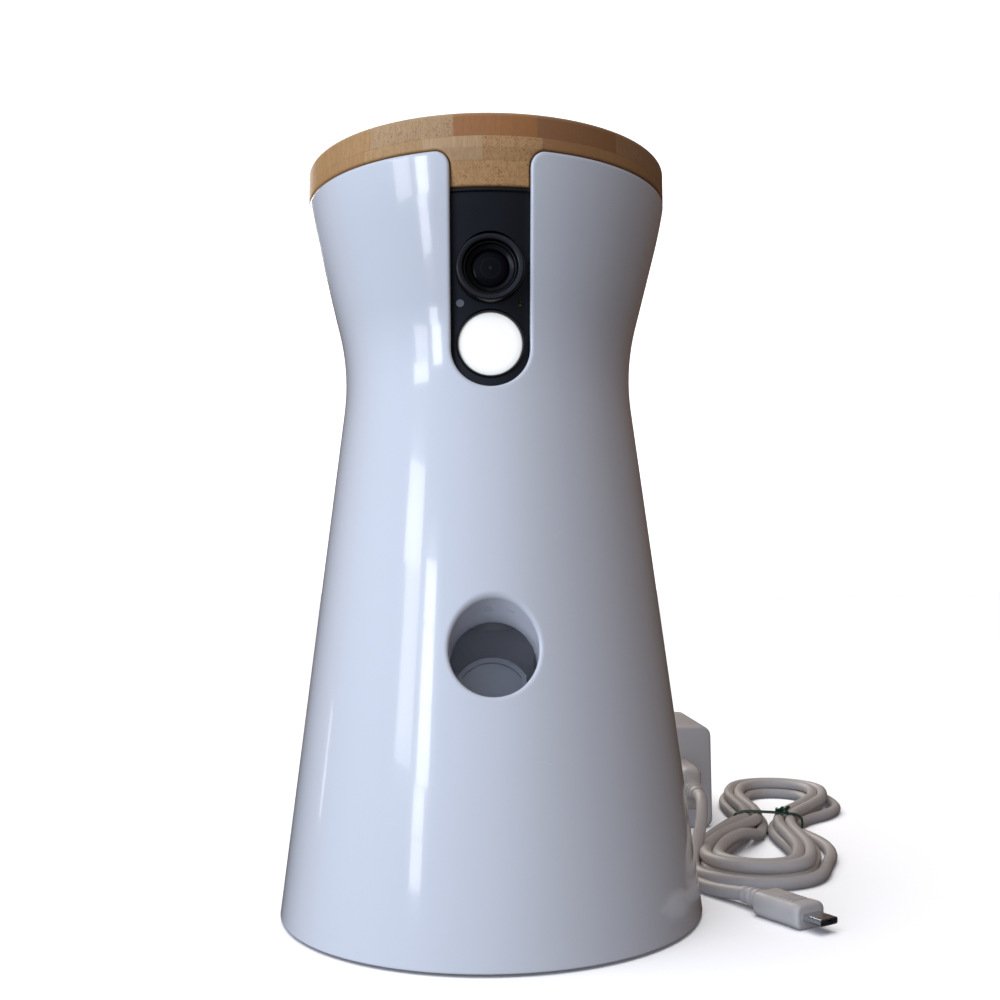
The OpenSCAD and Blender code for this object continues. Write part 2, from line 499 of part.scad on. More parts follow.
// ---- cord -----------------------------------------------------------------
// smooth route through hand-set points, n steps between each two
function cr(p0, p1, p2, p3, t) = 0.5*((2*p1) + (p2 - p0)*t + (2*p0 - 5*p1 + 4*p2 - p3)*t*t + (3*p1 - p0 - 3*p2 + p3)*t*t*t);
function route(p, n) = let (m = len(p) - 1) concat(
    [for (i = [0:m - 1]) for (k = [0:n - 1]) cr(p[max(i - 1, 0)], p[i], p[i + 1], p[min(i + 2, m)], k/n)], [p[m]]);
function unit(v) = v/norm(v);
sides = 10;
function ring(p, t, r) = let (s = unit(cross(t, [0, 0, 1])), u = cross(s, t))
    [for (k = [0:sides - 1]) p + r*(cos(k*360/sides)*s + sin(k*360/sides)*u)];
module tube(pts, r) let (m = len(pts) - 1,
        t = [for (i = [0:m]) unit(pts[min(i + 1, m)] - pts[max(i - 1, 0)])],
        v = [for (i = [0:m]) each ring(pts[i], t[i], r)])
    polyhedron(points = v, faces = concat(
        [[for (k = [0:sides - 1]) k]],
        [for (i = [0:m - 1]) for (k = [0:sides - 1]) let (k2 = (k + 1)%sides, a = i*sides, b = a + sides)
            [a + k, b + k, b + k2, a + k2]],
        [[for (k = [sides - 1:-1:0]) m*sides + k]]));

lead = [[77, 65, 20], [76.6, 56, 19], [74.6, 48, 13.5], [71.4, 41, 7], [69, 34.5, 3.2], [68.6, 28, 2.2], [70.2, 22, 2.1]];
tail = [[93.1, 80.6, 6.2], [85.9, 72.5, 4.9], [79, 64.2, 3.2], [73.2, 55.6, 2.2], [69.6, 48.8, 2.1], [66.2, 41.4, 2.1], [63, 33.6, 2.1], [62.2, 24.4, 2.1], [65.2, 14, 2.1], [69.2, 5.2, 2.3], [73.2, -1.2, 3], [76, -5.4, 3.6]];
loop_near = [[110, 25, 2.1], [114.5, 34, 2.1], [119, 44, 2.1], [121.5, 55, 2.1], [121.5, 66, 2.1], [119.8, 75.5, 2.1], [118.2, 82.1, 2.1]];
loop_inner = [[106.3, 26.6, 2.1], [110.5, 36, 2.1], [114, 46, 2.1], [115.8, 56, 2.1], [116, 67, 2.1], [115.2, 76, 2.1], [114.1, 83.5, 2.1]];
loop_far = [[120.5, 89, 2.1], [123.2, 96, 2.1], [130, 104, 2.1], [140, 113, 2.1], [147, 124, 2.1], [149, 136, 2.1], [148.9, 148, 2.1]];
hank_n = [90, 32]; hank_f = [128, 146];
hank_dir = atan2(hank_f[1] - hank_n[1], hank_f[0] - hank_n[0]);
hank_mid = (hank_n + hank_f)/2;
hank_a = unit(hank_f - hank_n);
hank_b = [hank_a[1], -hank_a[0]];
function hk(s, o) = hank_mid + s*hank_a + o*hank_b;
tie_w = 4; tie_t = 0.7;
module cord_lead() color([0.85, 0.85, 0.87]) tube(route(lead, 2), cord_d/2);
module cord_tail() color([0.85, 0.85, 0.87]) tube(route(tail, 2), cord_d/2);
module cord_loops() color([0.85, 0.85, 0.87]) { tube(route(loop_near, 2), cord_d/2); tube(route(loop_inner, 2), cord_d/2); tube(route(loop_far, 2), cord_d/2); }
module cord_hank() color([0.85, 0.85, 0.87]) difference() {
    linear_extrude(height = hank_h) polygon(concat(
        [for (i = [0:24]) hank_n + 23.7*[cos(hank_dir + 90 + i*7.5), sin(hank_dir + 90 + i*7.5)]],
        [hk(-8, 13), hk(8, 13)],
        [for (i = [0:24]) hank_f + 21.8*[cos(hank_dir - 90 + i*7.5), sin(hank_dir - 90 + i*7.5)]],
        [hk(8, -13), hk(-8, -13)]));
    translate([0, 0, -1]) linear_extrude(height = 1 + tie_t) polygon([hk(-tie_w/2, -20), hk(tie_w/2, -20), hk(tie_w/2, 20), hk(-tie_w/2, 20)]);
    translate([0, 0, hank_h - tie_t]) linear_extrude(height = 2) polygon([hk(-tie_w/2, -20), hk(tie_w/2, -20), hk(tie_w/2, 20), hk(-tie_w/2, 20)]);
    translate([0, 0, -1]) linear_extrude(height = 20) for (s = [-1, 1])
        polygon([hk(-tie_w/2, s*12.4), hk(tie_w/2, s*12.4), hk(tie_w/2, s*20), hk(-tie_w/2, s*20)]);
}
module cord_tie() color([0.1, 0.3, 0.2]) {
    difference() {
        linear_extrude(height = hank_h) polygon([hk(-tie_w/2, -13.1), hk(tie_w/2, -13.1), hk(tie_w/2, 13.1), hk(-tie_w/2, 13.1)]);
        translate([0, 0, tie_t]) linear_extrude(height = hank_h - 2*tie_t) polygon([hk(-tie_w, -12.4), hk(tie_w, -12.4), hk(tie_w, 12.4), hk(-tie_w, 12.4)]);
    }
    translate([0, 0, hank_h - 0.1]) linear_extrude(height = 2.4) polygon([hk(-1.2, -6), hk(1.2, -6), hk(1.2, 8), hk(-1.2, 8)]);
}
mp = [76, -5.4];               // where the cord enters the small plug
mp_a = -60;                    // its heading on the floor
module on_plug() translate([mp[0], mp[1], 3.6]) rotate(mp_a) rotate([90, 0, 90]) children();
module micro_usb_plug() color([0.85, 0.85, 0.87]) {
    on_plug() cylinder(r1 = 2.3, r2 = 3, h = 9, $fn = 48);
    on_plug() translate([0, 0, 9]) linear_extrude(height = 18) rr(11, 7, 2.2);
}
module micro_usb_tip() color([0.75, 0.75, 0.77]) difference() {
    on_plug() translate([0, 0, 27]) linear_extrude(height = 6.5) rr(6.8, 1.9, 0.6);
    on_plug() translate([0, 0, 28]) linear_extrude(height = 6.5) rr(6.2, 1.3, 0.4);
}

outer_shell();
treat_tube();
base_plate();
foot_ring();
light_ring();
ballast();
inner_frame();
hopper();
hopper_rotor();
rotor_motor();
treat_chute();
launcher_frame();
paddle();
paddle_pin();
sector_gear();
launch_spring();
wind_gear();
gear_axle();
motor_pinion();
launcher_motor();
gear_cover();
camera_panel();
lens_bezel();
lens_ring();
lens_glass();
lens_barrel();
camera_board();
sensor_bezel();
sensor_window();
light_sensor();
microphone();
main_board();
shield_can();
translate([0, 38, grille_z]) rotate(180) speaker();
usb_socket();
reset_button();
reset_switch();
lid_wood();
lid_insert();
lid_seal();
lid_screws();
base_screws();
hopper_screws();
adapter_case();
adapter_cover();
adapter_prongs();
adapter_port();
usb_a_shell();
usb_a_plug();
cord_lead();
cord_hank();
cord_loops();
cord_tail();
cord_tie();
micro_usb_plug();
micro_usb_tip();
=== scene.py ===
import bpy
import json
import math
import random
import numpy as np
from mathutils import Matrix, Vector
from mathutils.geometry import delaunay_2d_cdt


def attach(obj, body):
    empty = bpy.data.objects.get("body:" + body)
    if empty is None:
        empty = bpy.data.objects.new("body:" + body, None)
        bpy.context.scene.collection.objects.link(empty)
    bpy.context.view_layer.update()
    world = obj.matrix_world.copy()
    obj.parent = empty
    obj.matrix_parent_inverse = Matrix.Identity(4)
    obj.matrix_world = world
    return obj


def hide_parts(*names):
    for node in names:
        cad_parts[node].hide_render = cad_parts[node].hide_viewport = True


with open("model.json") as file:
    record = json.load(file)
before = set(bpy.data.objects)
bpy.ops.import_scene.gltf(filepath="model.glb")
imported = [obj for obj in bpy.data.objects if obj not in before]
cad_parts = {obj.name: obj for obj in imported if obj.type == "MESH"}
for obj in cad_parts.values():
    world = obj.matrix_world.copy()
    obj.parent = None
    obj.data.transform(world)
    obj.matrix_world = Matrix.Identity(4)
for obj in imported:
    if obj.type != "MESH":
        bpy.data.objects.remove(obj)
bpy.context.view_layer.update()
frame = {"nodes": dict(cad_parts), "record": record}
nodes = frame["nodes"]
MM = 0.001
sin, cos, pi = math.sin, math.cos, math.pi
rad = math.radians

# ---- camera ------------------------------------------------------------------
cam_data = bpy.data.cameras.new("camera")
cam_data.sensor_width = 36
cam_data.lens = 40.4
cam_data.clip_start = 0.02
cam_data.clip_end = 50
cam = bpy.data.objects.new("camera", cam_data)
bpy.context.scene.collection.objects.link(cam)
cam.matrix_world = (Matrix.Translation((-0.0073, -0.350, 0.099)) @ Matrix.Rotation(-0.031, 4, "Z")
                    @ Matrix.Rotation(pi/2 + 0.0707, 4, "X") @ Matrix.Rotation(-0.0085, 4, "Z"))
bpy.context.scene.camera = cam


# ---- mesh helpers --------------------------------------------------------------
def link(name, mesh, mat=None):
    o = bpy.data.objects.new(name, mesh)
    bpy.context.scene.collection.objects.link(o)
    if mat is not None:
        mesh.materials.append(mat)
    return o


def make(name, verts, faces, mat=None, normals=None, sharp=None):
    """Mesh object from points in millimetres."""
    m = bpy.data.meshes.new(name)
    m.from_pydata([tuple(float(c)*MM for c in v) for v in verts], [], [tuple(int(i) for i in f) for f in faces])
    m.validate()
    m.update()
    for p in m.polygons:
        p.use_smooth = True
    if sharp is not None:
        m.set_sharp_from_angle(angle=rad(sharp))
    if normals is not None:
        m.normals_split_custom_set_from_vertices([tuple(float(c) for c in n) for n in normals])
    return link(name, m, mat)


def applied(o, *mods):
    """Adds modifiers as (type, {settings}) and makes their result the piece's own mesh."""
    for kind, settings in mods:
        md = o.modifiers.new(kind.lower(), kind)
        for k, v in settings.items():
            setattr(md, k, v)
    dg = bpy.context.evaluated_depsgraph_get()
    m = bpy.data.meshes.new_from_object(o.evaluated_get(dg))
    o.modifiers.clear()
    old = o.data
    o.data = m
    m.name = o.name
    bpy.data.meshes.remove(old)
    return o


def bevelled(o, width, seg=3, angle=30, sharp=50):
    applied(o, ("BEVEL", {"width": width*MM, "segments": seg, "limit_method": "ANGLE", "angle_limit": rad(angle), "harden_normals": False}))
    for p in o.data.polygons:
        p.use_smooth = True
    o.data.set_sharp_from_angle(angle=rad(sharp))
    return o


def lathe(name, prof, origin, axis, mat, n=96, closed=True, sharp=38, up=(0, 0, 1)):
    """Surface of revolution. prof is [(radius, distance along axis)] in mm."""
    a = Vector(axis).normalized()
    u = a.cross(Vector(up))
    if u.length < 1e-6:
        u = a.cross(Vector((1, 0, 0)))
    u.normalize()
    v = a.cross(u)
    o = Vector(origin)
    verts, rings = [], []
    for r, h in prof:
        if r < 1e-6:
            rings.append([len(verts)])
            verts.append(o + a*h)
        else:
            rings.append(list(range(len(verts), len(verts) + n)))
            for k in range(n):
                t = 2*pi*k/n
                verts.append(o + a*h + u*(r*cos(t)) + v*(r*sin(t)))
    faces = []
    pairs = list(zip(rings[:-1], rings[1:]))
    if closed:
        pairs.append((rings[-1], rings[0]))
    for ra, rb in pairs:
        if len(ra) == 1 and len(rb) == 1:
            continue
        for k in range(n):
            k2 = (k + 1) % n
            if len(ra) == 1:
                faces.append((ra[0], rb[k2], rb[k]))
            elif len(rb) == 1:
                faces.append((ra[k], ra[k2], rb[0]))
            else:
                faces.append((ra[k], ra[k2], rb[k2], rb[k]))
    ob = make(name, verts, faces, mat)
    fix_normals(ob)
    ob.data.set_sharp_from_angle(angle=rad(sharp))
    return ob


def fix_normals(o):
    import bmesh
    bm = bmesh.new()
    bm.from_mesh(o.data)
    bmesh.ops.remove_doubles(bm, verts=bm.verts, dist=1e-7)
    bmesh.ops.recalc_face_normals(bm, faces=bm.faces)
    bm.to_mesh(o.data)
    bm.free()
    o.data.update()


def rounded(w, h, r, seg=6):
    """Outline of a rectangle with round corners, counter-clockwise."""
    out = []
    for cx, cy, a0 in ((w/2 - r, h/2 - r, 0), (-w/2 + r, h/2 - r, 90), (-w/2 + r, -h/2 + r, 180), (w/2 - r, -h/2 + r, 270)):
        for k in range(seg + 1):
            a = rad(a0 + 90*k/seg)
            out.append((cx + r*cos(a), cy + r*sin(a)))
    return out


def loft(name, sections, place, mat, sharp=40, caps=True):
    """Skin through closed outlines. sections is [(outline, distance)], place a matrix in mm."""
    verts, faces = [], []
    n = len(sections[0][0])
    for outline, h in sections:
        for x, y in outline:
            verts.append(place @ Vector((x, y, h)))
    for i in range(len(sections) - 1):
        for k in range(n):
            k2 = (k + 1) % n
            faces.append((i*n + k, i*n + k2, (i + 1)*n + k2, (i + 1)*n + k))
    if caps:
        faces.append(tuple(range(n - 1, -1, -1)))
        faces.append(tuple((len(sections) - 1)*n + k for k in range(n)))
    o = make(name, verts, faces, mat)
    fix_normals(o)
    o.data.set_sharp_from_angle(angle=rad(sharp))
    return o


# ---- materials -------------------------------------------------------------------
class N:
    """Short way to build a node tree."""

    def __init__(self, name):
        self.m = bpy.data.materials.new(name)
        self.m.use_nodes = True
        self.t = self.m.node_tree
        self.t.nodes.clear()
        self.out = self.t.nodes.new("ShaderNodeOutputMaterial")
        self.p = self.t.nodes.new("ShaderNodeBsdfPrincipled")
        self.t.links.new(self.p.outputs[0], self.out.inputs[0])
        self.co = self.t.nodes.new("ShaderNodeTexCoord").outputs["Object"]

    def node(self, kind, **kw):
        n = self.t.nodes.new(kind)
        for k, v in kw.items():
            setattr(n, k, v)
        return n

    def put(self, socket, v):
        if isinstance(v, bpy.types.NodeSocket):
            self.t.links.new(v, socket)
        elif isinstance(v, (tuple, list)) and len(v) == 3 and len(socket.default_value) == 4:
            socket.default_value = (*v, 1)
        else:
            socket.default_value = v

    def noise(self, scale, detail=3, rough=0.5, co=None, dist=0.0):
        n = self.node("ShaderNodeTexNoise")
        self.put(n.inputs["Vector"], co or self.co)
        n.inputs["Scale"].default_value = scale
        n.inputs["Detail"].default_value = detail
        n.inputs["Roughness"].default_value = rough
        n.inputs["Distortion"].default_value = dist
        return n.outputs["Fac"]

    def voronoi(self, scale, co=None, feature="F1", out="Distance"):
        n = self.node("ShaderNodeTexVoronoi", feature=feature)
        self.put(n.inputs["Vector"], co or self.co)
        n.inputs["Scale"].default_value = scale
        return n.outputs[out]

    def mapping(self, scale, rot=(0, 0, 0), loc=(0, 0, 0), co=None):
        n = self.node("ShaderNodeMapping")
        self.put(n.inputs["Vector"], co or self.co)
        n.inputs["Scale"].default_value = scale
        n.inputs["Rotation"].default_value = rot
        n.inputs["Location"].default_value = loc
        return n.outputs[0]

    def sep(self, co=None):
        n = self.node("ShaderNodeSeparateXYZ")
        self.put(n.inputs[0], co or self.co)
        return n.outputs

    def comb(self, x, y, z):
        n = self.node("ShaderNodeCombineXYZ")
        for i, v in enumerate((x, y, z)):
            self.put(n.inputs[i], v)
        return n.outputs[0]

    def math(self, op, a, b=0.0, c=0.0, clamp=False):
        n = self.node("ShaderNodeMath", operation=op, use_clamp=clamp)
        for i, v in enumerate((a, b, c)):
            self.put(n.inputs[i], v)
        return n.outputs[0]

    def remap(self, v, a, b, c, d, kind="LINEAR"):
        n = self.node("ShaderNodeMapRange", interpolation_type=kind)
        for i, x in enumerate((v, a, b, c, d)):
            self.put(n.inputs[i], x)
        return n.outputs[0]

    def mix(self, f, a, b, mode="MIX"):
        n = self.node("ShaderNodeMix", data_type="RGBA", blend_type=mode)
        self.put(n.inputs[0], f)
        self.put(n.inputs[6], a)
        self.put(n.inputs[7], b)
        return n.outputs[2]

    def ramp(self, f, stops):
        n = self.node("ShaderNodeValToRGB")
        self.put(n.inputs[0], f)
        e = n.color_ramp.elements
        while len(e) < len(stops):
            e.new(0.5)
        for i, (p, c) in enumerate(stops):
            e[i].position = p
            e[i].color = (*c, 1)
        return n.outputs[0]

    def white(self, v):
        n = self.node("ShaderNodeTexWhiteNoise", noise_dimensions="3D")
        self.put(n.inputs[0], v)
        return n.outputs["Value"]

    def bump(self, h, strength, dist):
        n = self.node("ShaderNodeBump")
        n.inputs["Strength"].default_value = strength
        n.inputs["Distance"].default_value = dist
        self.put(n.inputs["Height"], h)
        return n.outputs[0]

    def set(self, **kw):
        for k, v in kw.items():
            self.put(self.p.inputs[k.replace("_", " ")], v)
        return self.m


def shade(c, k):
    return tuple(min(1.0, x*k) for x in c)


def plastic(name, c, rough=0.4, var=0.05, grain=1400, bump=0.15, depth=0.00002, coat=0.0, coat_rough=0.05, ior=1.46, sub=0.0, spec=0.5):
    """Moulded plastic: slow tone drift, fine surface grain, uneven gloss."""
    n = N(name)
    slow = n.noise(35, 2)
    fine = n.noise(grain, 4, 0.6)
    base = n.mix(slow, shade(c, 1 - var), shade(c, 1 + var))
    base = n.mix(n.remap(fine, 0.35, 0.65, 0, 0.35), base, shade(c, 1 - 1.5*var))
    kw = {}
    if sub:
        kw["Subsurface_Weight"] = sub
        kw["Subsurface_Radius"] = (0.004, 0.003, 0.0025)
        kw["Subsurface_Scale"] = 0.5
    m = n.set(Base_Color=base, Roughness=n.remap(n.noise(120, 3), 0.3, 0.7, rough*0.88, rough*1.12), IOR=ior, Specular_IOR_Level=spec,
              Normal=n.bump(fine, bump, depth), Coat_Weight=coat, Coat_Roughness=coat_rough, **kw)
    return m


def metal(name, c, rough=0.3, lines=(1, 1, 60), var=0.1, dark=0.25):
    """Metal with fine drawn lines and some dulled patches."""
    n = N(name)
    drawn = n.noise(120, 5, 0.7, co=n.mapping(lines))
    patch = n.noise(90, 3)
    base = n.mix(n.remap(patch, 0.4, 0.75, 0, dark), n.mix(drawn, shade(c, 1 - var), shade(c, 1 + var)), shade(c, 0.55))
    return n.set(Base_Color=base, Metallic=1.0, Roughness=n.remap(drawn, 0.2, 0.8, rough*0.75, rough*1.3),
                 Normal=n.bump(drawn, 0.12, 0.00003))


def shell_material():
    n = N("shell_gloss_white")
    slow = n.noise(9, 2)
    flow = n.noise(2600, 2)
    peel = n.noise(420, 2, 0.4)
    wear = n.noise(60, 6, 0.75)
    dust = n.voronoi(750)
    spot = n.remap(dust, 0.02, 0.07, 1, 0)
    few = n.remap(n.noise(22, 3), 0.52, 0.66, 0, 1)
    speck = n.math("MULTIPLY", spot, few)
    base = n.mix(slow, (0.785, 0.790, 0.805), (0.812, 0.815, 0.825))
    base = n.mix(n.remap(wear, 0.45, 0.9, 0, 0.08), base, (0.69, 0.69, 0.70))
    base = n.mix(n.math("MULTIPLY", speck, 0.3), base, (0.42, 0.41, 0.42))
    # fine hair lines from handling, running mostly up and down
    hair = n.voronoi(260, co=n.mapping((1, 1, 0.035), rot=(0.05, 0.12, 0.3)), feature="DISTANCE_TO_EDGE")
    line = n.math("MULTIPLY", n.remap(hair, 0.0, 0.006, 1, 0), n.remap(n.noise(30, 3), 0.5, 0.62, 0, 1))
    rough = n.math("ADD", n.remap(wear, 0.3, 0.8, 0.12, 0.20), n.math("MULTIPLY", line, 0.2))
    height = n.math("ADD", n.math("MULTIPLY", peel, 0.7), n.math("MULTIPLY", flow, 0.05))
    return n.set(Base_Color=base, Roughness=rough, IOR=1.5, Coat_Weight=0.55, Coat_Roughness=0.035,
                 Normal=n.bump(n.math("SUBTRACT", height, n.math("MULTIPLY", line, 0.15)), 0.05, 0.00008),
                 Subsurface_Weight=0.06, Subsurface_Radius=(0.004, 0.004, 0.005), Subsurface_Scale=0.4)


def bamboo_material():
    """Laminated bamboo: three layers of strips, long grain and end grain in turn."""
    n = N("bamboo_laminated")
    x, y, z = n.sep()
    top = n.math("GREATER_THAN", z, 0.2184)
    mid = n.math("MULTIPLY", n.math("GREATER_THAN", z, 0.2120), n.math("SUBTRACT", 1.0, top))
    # strips run to the front; each layer has its own widths and a little wobble in the glue line
    wob = n.math("MULTIPLY", n.math("SUBTRACT", n.noise(60, 2), 0.5), 0.0006)
    xw = n.math("ADD", x, wob)

    def bands(v, start, width, tones):
        """One tone for each strip, from the left; tones are (colour, how many vessels show)."""
        f = n.math("DIVIDE", n.math("SUBTRACT", v, start), width*len(tones))
        out = []
        for pick in (0, 1):
            r = n.node("ShaderNodeValToRGB")
            r.color_ramp.interpolation = "CONSTANT"
            n.put(r.inputs[0], f)
            e = r.color_ramp.elements
            while len(e) < len(tones):
                e.new(0.5)
            for i, t_ in enumerate(tones):
                e[i].position = i/len(tones)
                c = t_[pick]
                e[i].color = (*c, 1) if pick == 0 else (c, c, c, 1)
            out.append(r.outputs[0])
        return out

    top_c, top_k = bands(xw, -0.0563, 0.023, [((0.63, 0.350, 0.130), 0.45), ((0.64, 0.400, 0.190), 0.85), ((0.480, 0.195, 0.056), 0.25), ((0.340, 0.158, 0.064), 0.40), ((0.42, 0.235, 0.115), 0.6)])
    mid_c, mid_k = bands(xw, -0.0676, 0.0164, [((0.62, 0.330, 0.120), 0.3), ((0.62, 0.330, 0.120), 0.30), ((0.66, 0.390, 0.155), 0.60), ((0.72, 0.460, 0.225), 0.10), ((0.660, 0.370, 0.150), 1.15), ((0.450, 0.220, 0.088), 0.55), ((0.46, 0.24, 0.10), 0.35), ((0.44, 0.23, 0.10), 0.5)])
    low_c, low_k = bands(xw, -0.0600, 0.030, [((0.70, 0.395, 0.155), 0.7), ((0.76, 0.430, 0.175), 0.85), ((0.74, 0.415, 0.165), 0.95), ((0.60, 0.33, 0.14), 0.8)])
    base = n.mix(top, n.mix(mid, low_c, mid_c), top_c)
    kind = n.mix(top, n.mix(mid, low_k, mid_k), top_k)
    # on the sides the fibres show as short upright streaks, on the top as long lines to the front
    upright = n.noise(40, 5, 0.65, co=n.mapping((46, 46, 5)))
    along = n.noise(30, 5, 0.62, co=n.mapping((60, 3, 8)))
    face = n.math("GREATER_THAN", z, 0.22485)
    grain = n.mix(face, upright, along)
    cloud = n.noise(75, 3, 0.55)
    coarse = n.voronoi(1050, co=n.mapping((1, 1, 0.8)))
    fine = n.voronoi(1900, co=n.mapping((1, 1, 0.7)))
    pore = n.math("MAXIMUM", n.math("MULTIPLY", n.remap(coarse, 0.12, 0.40, 1, 0), n.remap(n.noise(210, 3, 0.7), 0.42, 0.60, 0.1, 1)),
                  n.math("MULTIPLY", n.remap(fine, 0.10, 0.42, 1, 0), 0.75))
    speck = n.math("MULTIPLY", pore, kind, clamp=True)
    base = n.mix(n.remap(cloud, 0.35, 0.65, 0.0, 0.35), base, n.mix(0.5, base, (0.34, 0.155, 0.055)))
    base = n.mix(n.remap(grain, 0.34, 0.66, 0.0, 0.55), base, n.mix(0.55, base, (0.27, 0.115, 0.042)))
    base = n.mix(n.math("MULTIPLY", speck, 0.80), base, (0.250, 0.105, 0.040))
    # glue lines
    def near(v, at, w):
        return n.remap(n.math("ABSOLUTE", n.math("SUBTRACT", v, at)), 0.0, w, 1, 0)
    glue = n.math("MAXIMUM", near(z, 0.2184, 0.00014), near(z, 0.2120, 0.00014))
    fx = n.math("FRACT", n.math("MULTIPLY", n.math("ADD", xw, 0.0676 + 0.0164*4), 1/0.0164))
    gx = n.math("MULTIPLY", mid, n.remap(n.math("ABSOLUTE", n.math("SUBTRACT", fx, 0.5)), 0.492, 0.5, 0, 1))
    fx2 = n.math("FRACT", n.math("MULTIPLY", n.math("ADD", xw, 0.0563 + 0.023*4), 1/0.023))
    gx2 = n.math("MULTIPLY", top, n.remap(n.math("ABSOLUTE", n.math("SUBTRACT", fx2, 0.5)), 0.494, 0.5, 0, 1))
    glue = n.math("MAXIMUM", glue, n.math("MAXIMUM", gx, gx2))
    base = n.mix(n.math("MULTIPLY", glue, 0.3), base, (0.16, 0.068, 0.028))
    # painted highlight: a paler band along the top outer edge of the lid
    r2 = n.math("SQRT", n.math("ADD", n.math("MULTIPLY", x, x), n.math("MULTIPLY", y, y)))
    edge = n.math("MULTIPLY", near(r2, 0.0551, 0.0011), near(z, 0.2246, 0.0011))
    base = n.mix(n.math("MULTIPLY", edge, 0.55), base, (0.66, 0.45, 0.24))
    h = n.math("SUBTRACT", n.math("ADD", n.math("MULTIPLY", grain, 0.5), n.math("MULTIPLY", n.noise(900, 3), 0.3)),
               n.math("ADD", n.math("MULTIPLY", speck, 0.5), n.math("MULTIPLY", glue, 0.7)))
    return n.set(Base_Color=base, Roughness=n.remap(grain, 0.3, 0.7, 0.42, 0.58), IOR=1.45, Specular_IOR_Level=0.35, Coat_Weight=0.10, Coat_Roughness=0.25,
                 Normal=n.bump(h, 0.35, 0.00008))


def panel_material():
    n = N("strip_satin_black")
    fine = n.noise(2600, 3, 0.7)
    slow = n.noise(60, 3)
    base = n.mix(slow, (0.006, 0.007, 0.010), (0.010, 0.011, 0.015))
    dust = n.math("MULTIPLY", n.remap(n.voronoi(900), 0.03, 0.09, 1, 0), n.remap(n.noise(70, 2), 0.5, 0.7, 0, 1))
    base = n.mix(n.math("MULTIPLY", dust, 0.06), base, (0.14, 0.14, 0.15))
    return n.set(Base_Color=base, Roughness=n.remap(slow, 0.3, 0.7, 0.26, 0.34), IOR=1.4, Specular_IOR_Level=0.3, Normal=n.bump(fine, 0.12, 0.00002))


def glass_material():
    n = N("lens_coated_glass")
    x, y, z = n.sep()
    zz = n.math("SUBTRACT", z, 0.185)
    r = n.math("SQRT", n.math("ADD", n.math("MULTIPLY", x, x), n.math("MULTIPLY", zz, zz)))
    tint = n.ramp(n.remap(r, 0.0, 0.0052, 0, 1), [(0.0, (0.030, 0.022, 0.018)), (0.08, (0.018, 0.013, 0.011)), (0.12, (0.003, 0.003, 0.004)), (0.48, (0.004, 0.004, 0.006)), (0.53, (0.010, 0.011, 0.014)), (0.57, (0.003, 0.003, 0.005)), (1.0, (0.003, 0.003, 0.005))])
    smear = n.noise(300, 4, 0.6)
    return n.set(Base_Color=tint, Roughness=n.remap(smear, 0.4, 0.7, 0.03, 0.09), IOR=1.45, Specular_IOR_Level=0.05, Coat_Weight=0.03, Coat_Roughness=0.02,
                 Coat_Tint=(0.72, 0.78, 1.0), Normal=n.bump(smear, 0.02, 0.00002))


def cord_material(name, c):
    n = N(name)
    slow = n.noise(45, 3)
    fine = n.noise(1500, 4, 0.65)
    soil = n.noise(130, 5, 0.7)
    base = n.mix(slow, shade(c, 0.94), shade(c, 1.05))
    base = n.mix(n.remap(soil, 0.5, 0.8, 0, 0.28), base, shade(c, 0.62))
    return n.set(Base_Color=base, Roughness=n.remap(fine, 0.3, 0.7, 0.36, 0.50), IOR=1.5, Normal=n.bump(fine, 0.22, 0.00003),
                 Subsurface_Weight=0.08, Subsurface_Radius=(0.002, 0.002, 0.002), Subsurface_Scale=0.4)


def window_material():
    """Frosted white window with a painted glow, strongest at the centre and fading towards the rim."""
    n = N("window_frosted_white")
    fine = n.noise(2200, 3, 0.6)
    x, y, z = n.sep()
    zz = n.math("SUBTRACT", z, 0.1646)
    r = n.math("SQRT", n.math("ADD", n.math("MULTIPLY", x, x), n.math("MULTIPLY", zz, zz)))
    # painted glow: the window gives off light of its own, brightest at the centre
    painted_glow = n.ramp(n.remap(r, 0.0, 0.0089, 0, 1), [(0.0, (0.50, 0.47, 0.40)), (0.8, (0.46, 0.43, 0.36)), (1.0, (0.34, 0.32, 0.27))])
    return n.set(Base_Color=n.mix(fine, (0.93, 0.935, 0.94), (0.95, 0.95, 0.955)), Roughness=0.3, IOR=1.46,
                 Normal=n.bump(fine, 0.06, 0.00002), Emission_Color=painted_glow, Emission_Strength=1.0)


def board_material():
    n = N("circuit_board")
    x, y, z = n.sep()
    cell = n.mapping((1, 1, 1))
    tr = n.node("ShaderNodeTexBrick")
    n.put(tr.inputs["Vector"], n.mapping((1, 1, 1), rot=(pi/2, 0, 0), co=cell))
    tr.inputs["Scale"].default_value = 260
    tr.inputs["Mortar Size"].default_value = 0.05
    tr.inputs["Color1"].default_value = (0.012, 0.10, 0.055, 1)
    tr.inputs["Color2"].default_value = (0.016, 0.125, 0.065, 1)
    tr.inputs["Mortar"].default_value = (0.03, 0.19, 0.095, 1)
    pads = n.remap(n.voronoi(230), 0.10, 0.13, 1, 0)
    base = n.mix(n.math("MULTIPLY", pads, 0.8), tr.outputs["Color"], (0.30, 0.25, 0.14))
    return n.set(Base_Color=base, Roughness=0.42, Metallic=n.math("MULTIPLY", pads, 0.7), Normal=n.bump(pads, 0.2, 0.00005))


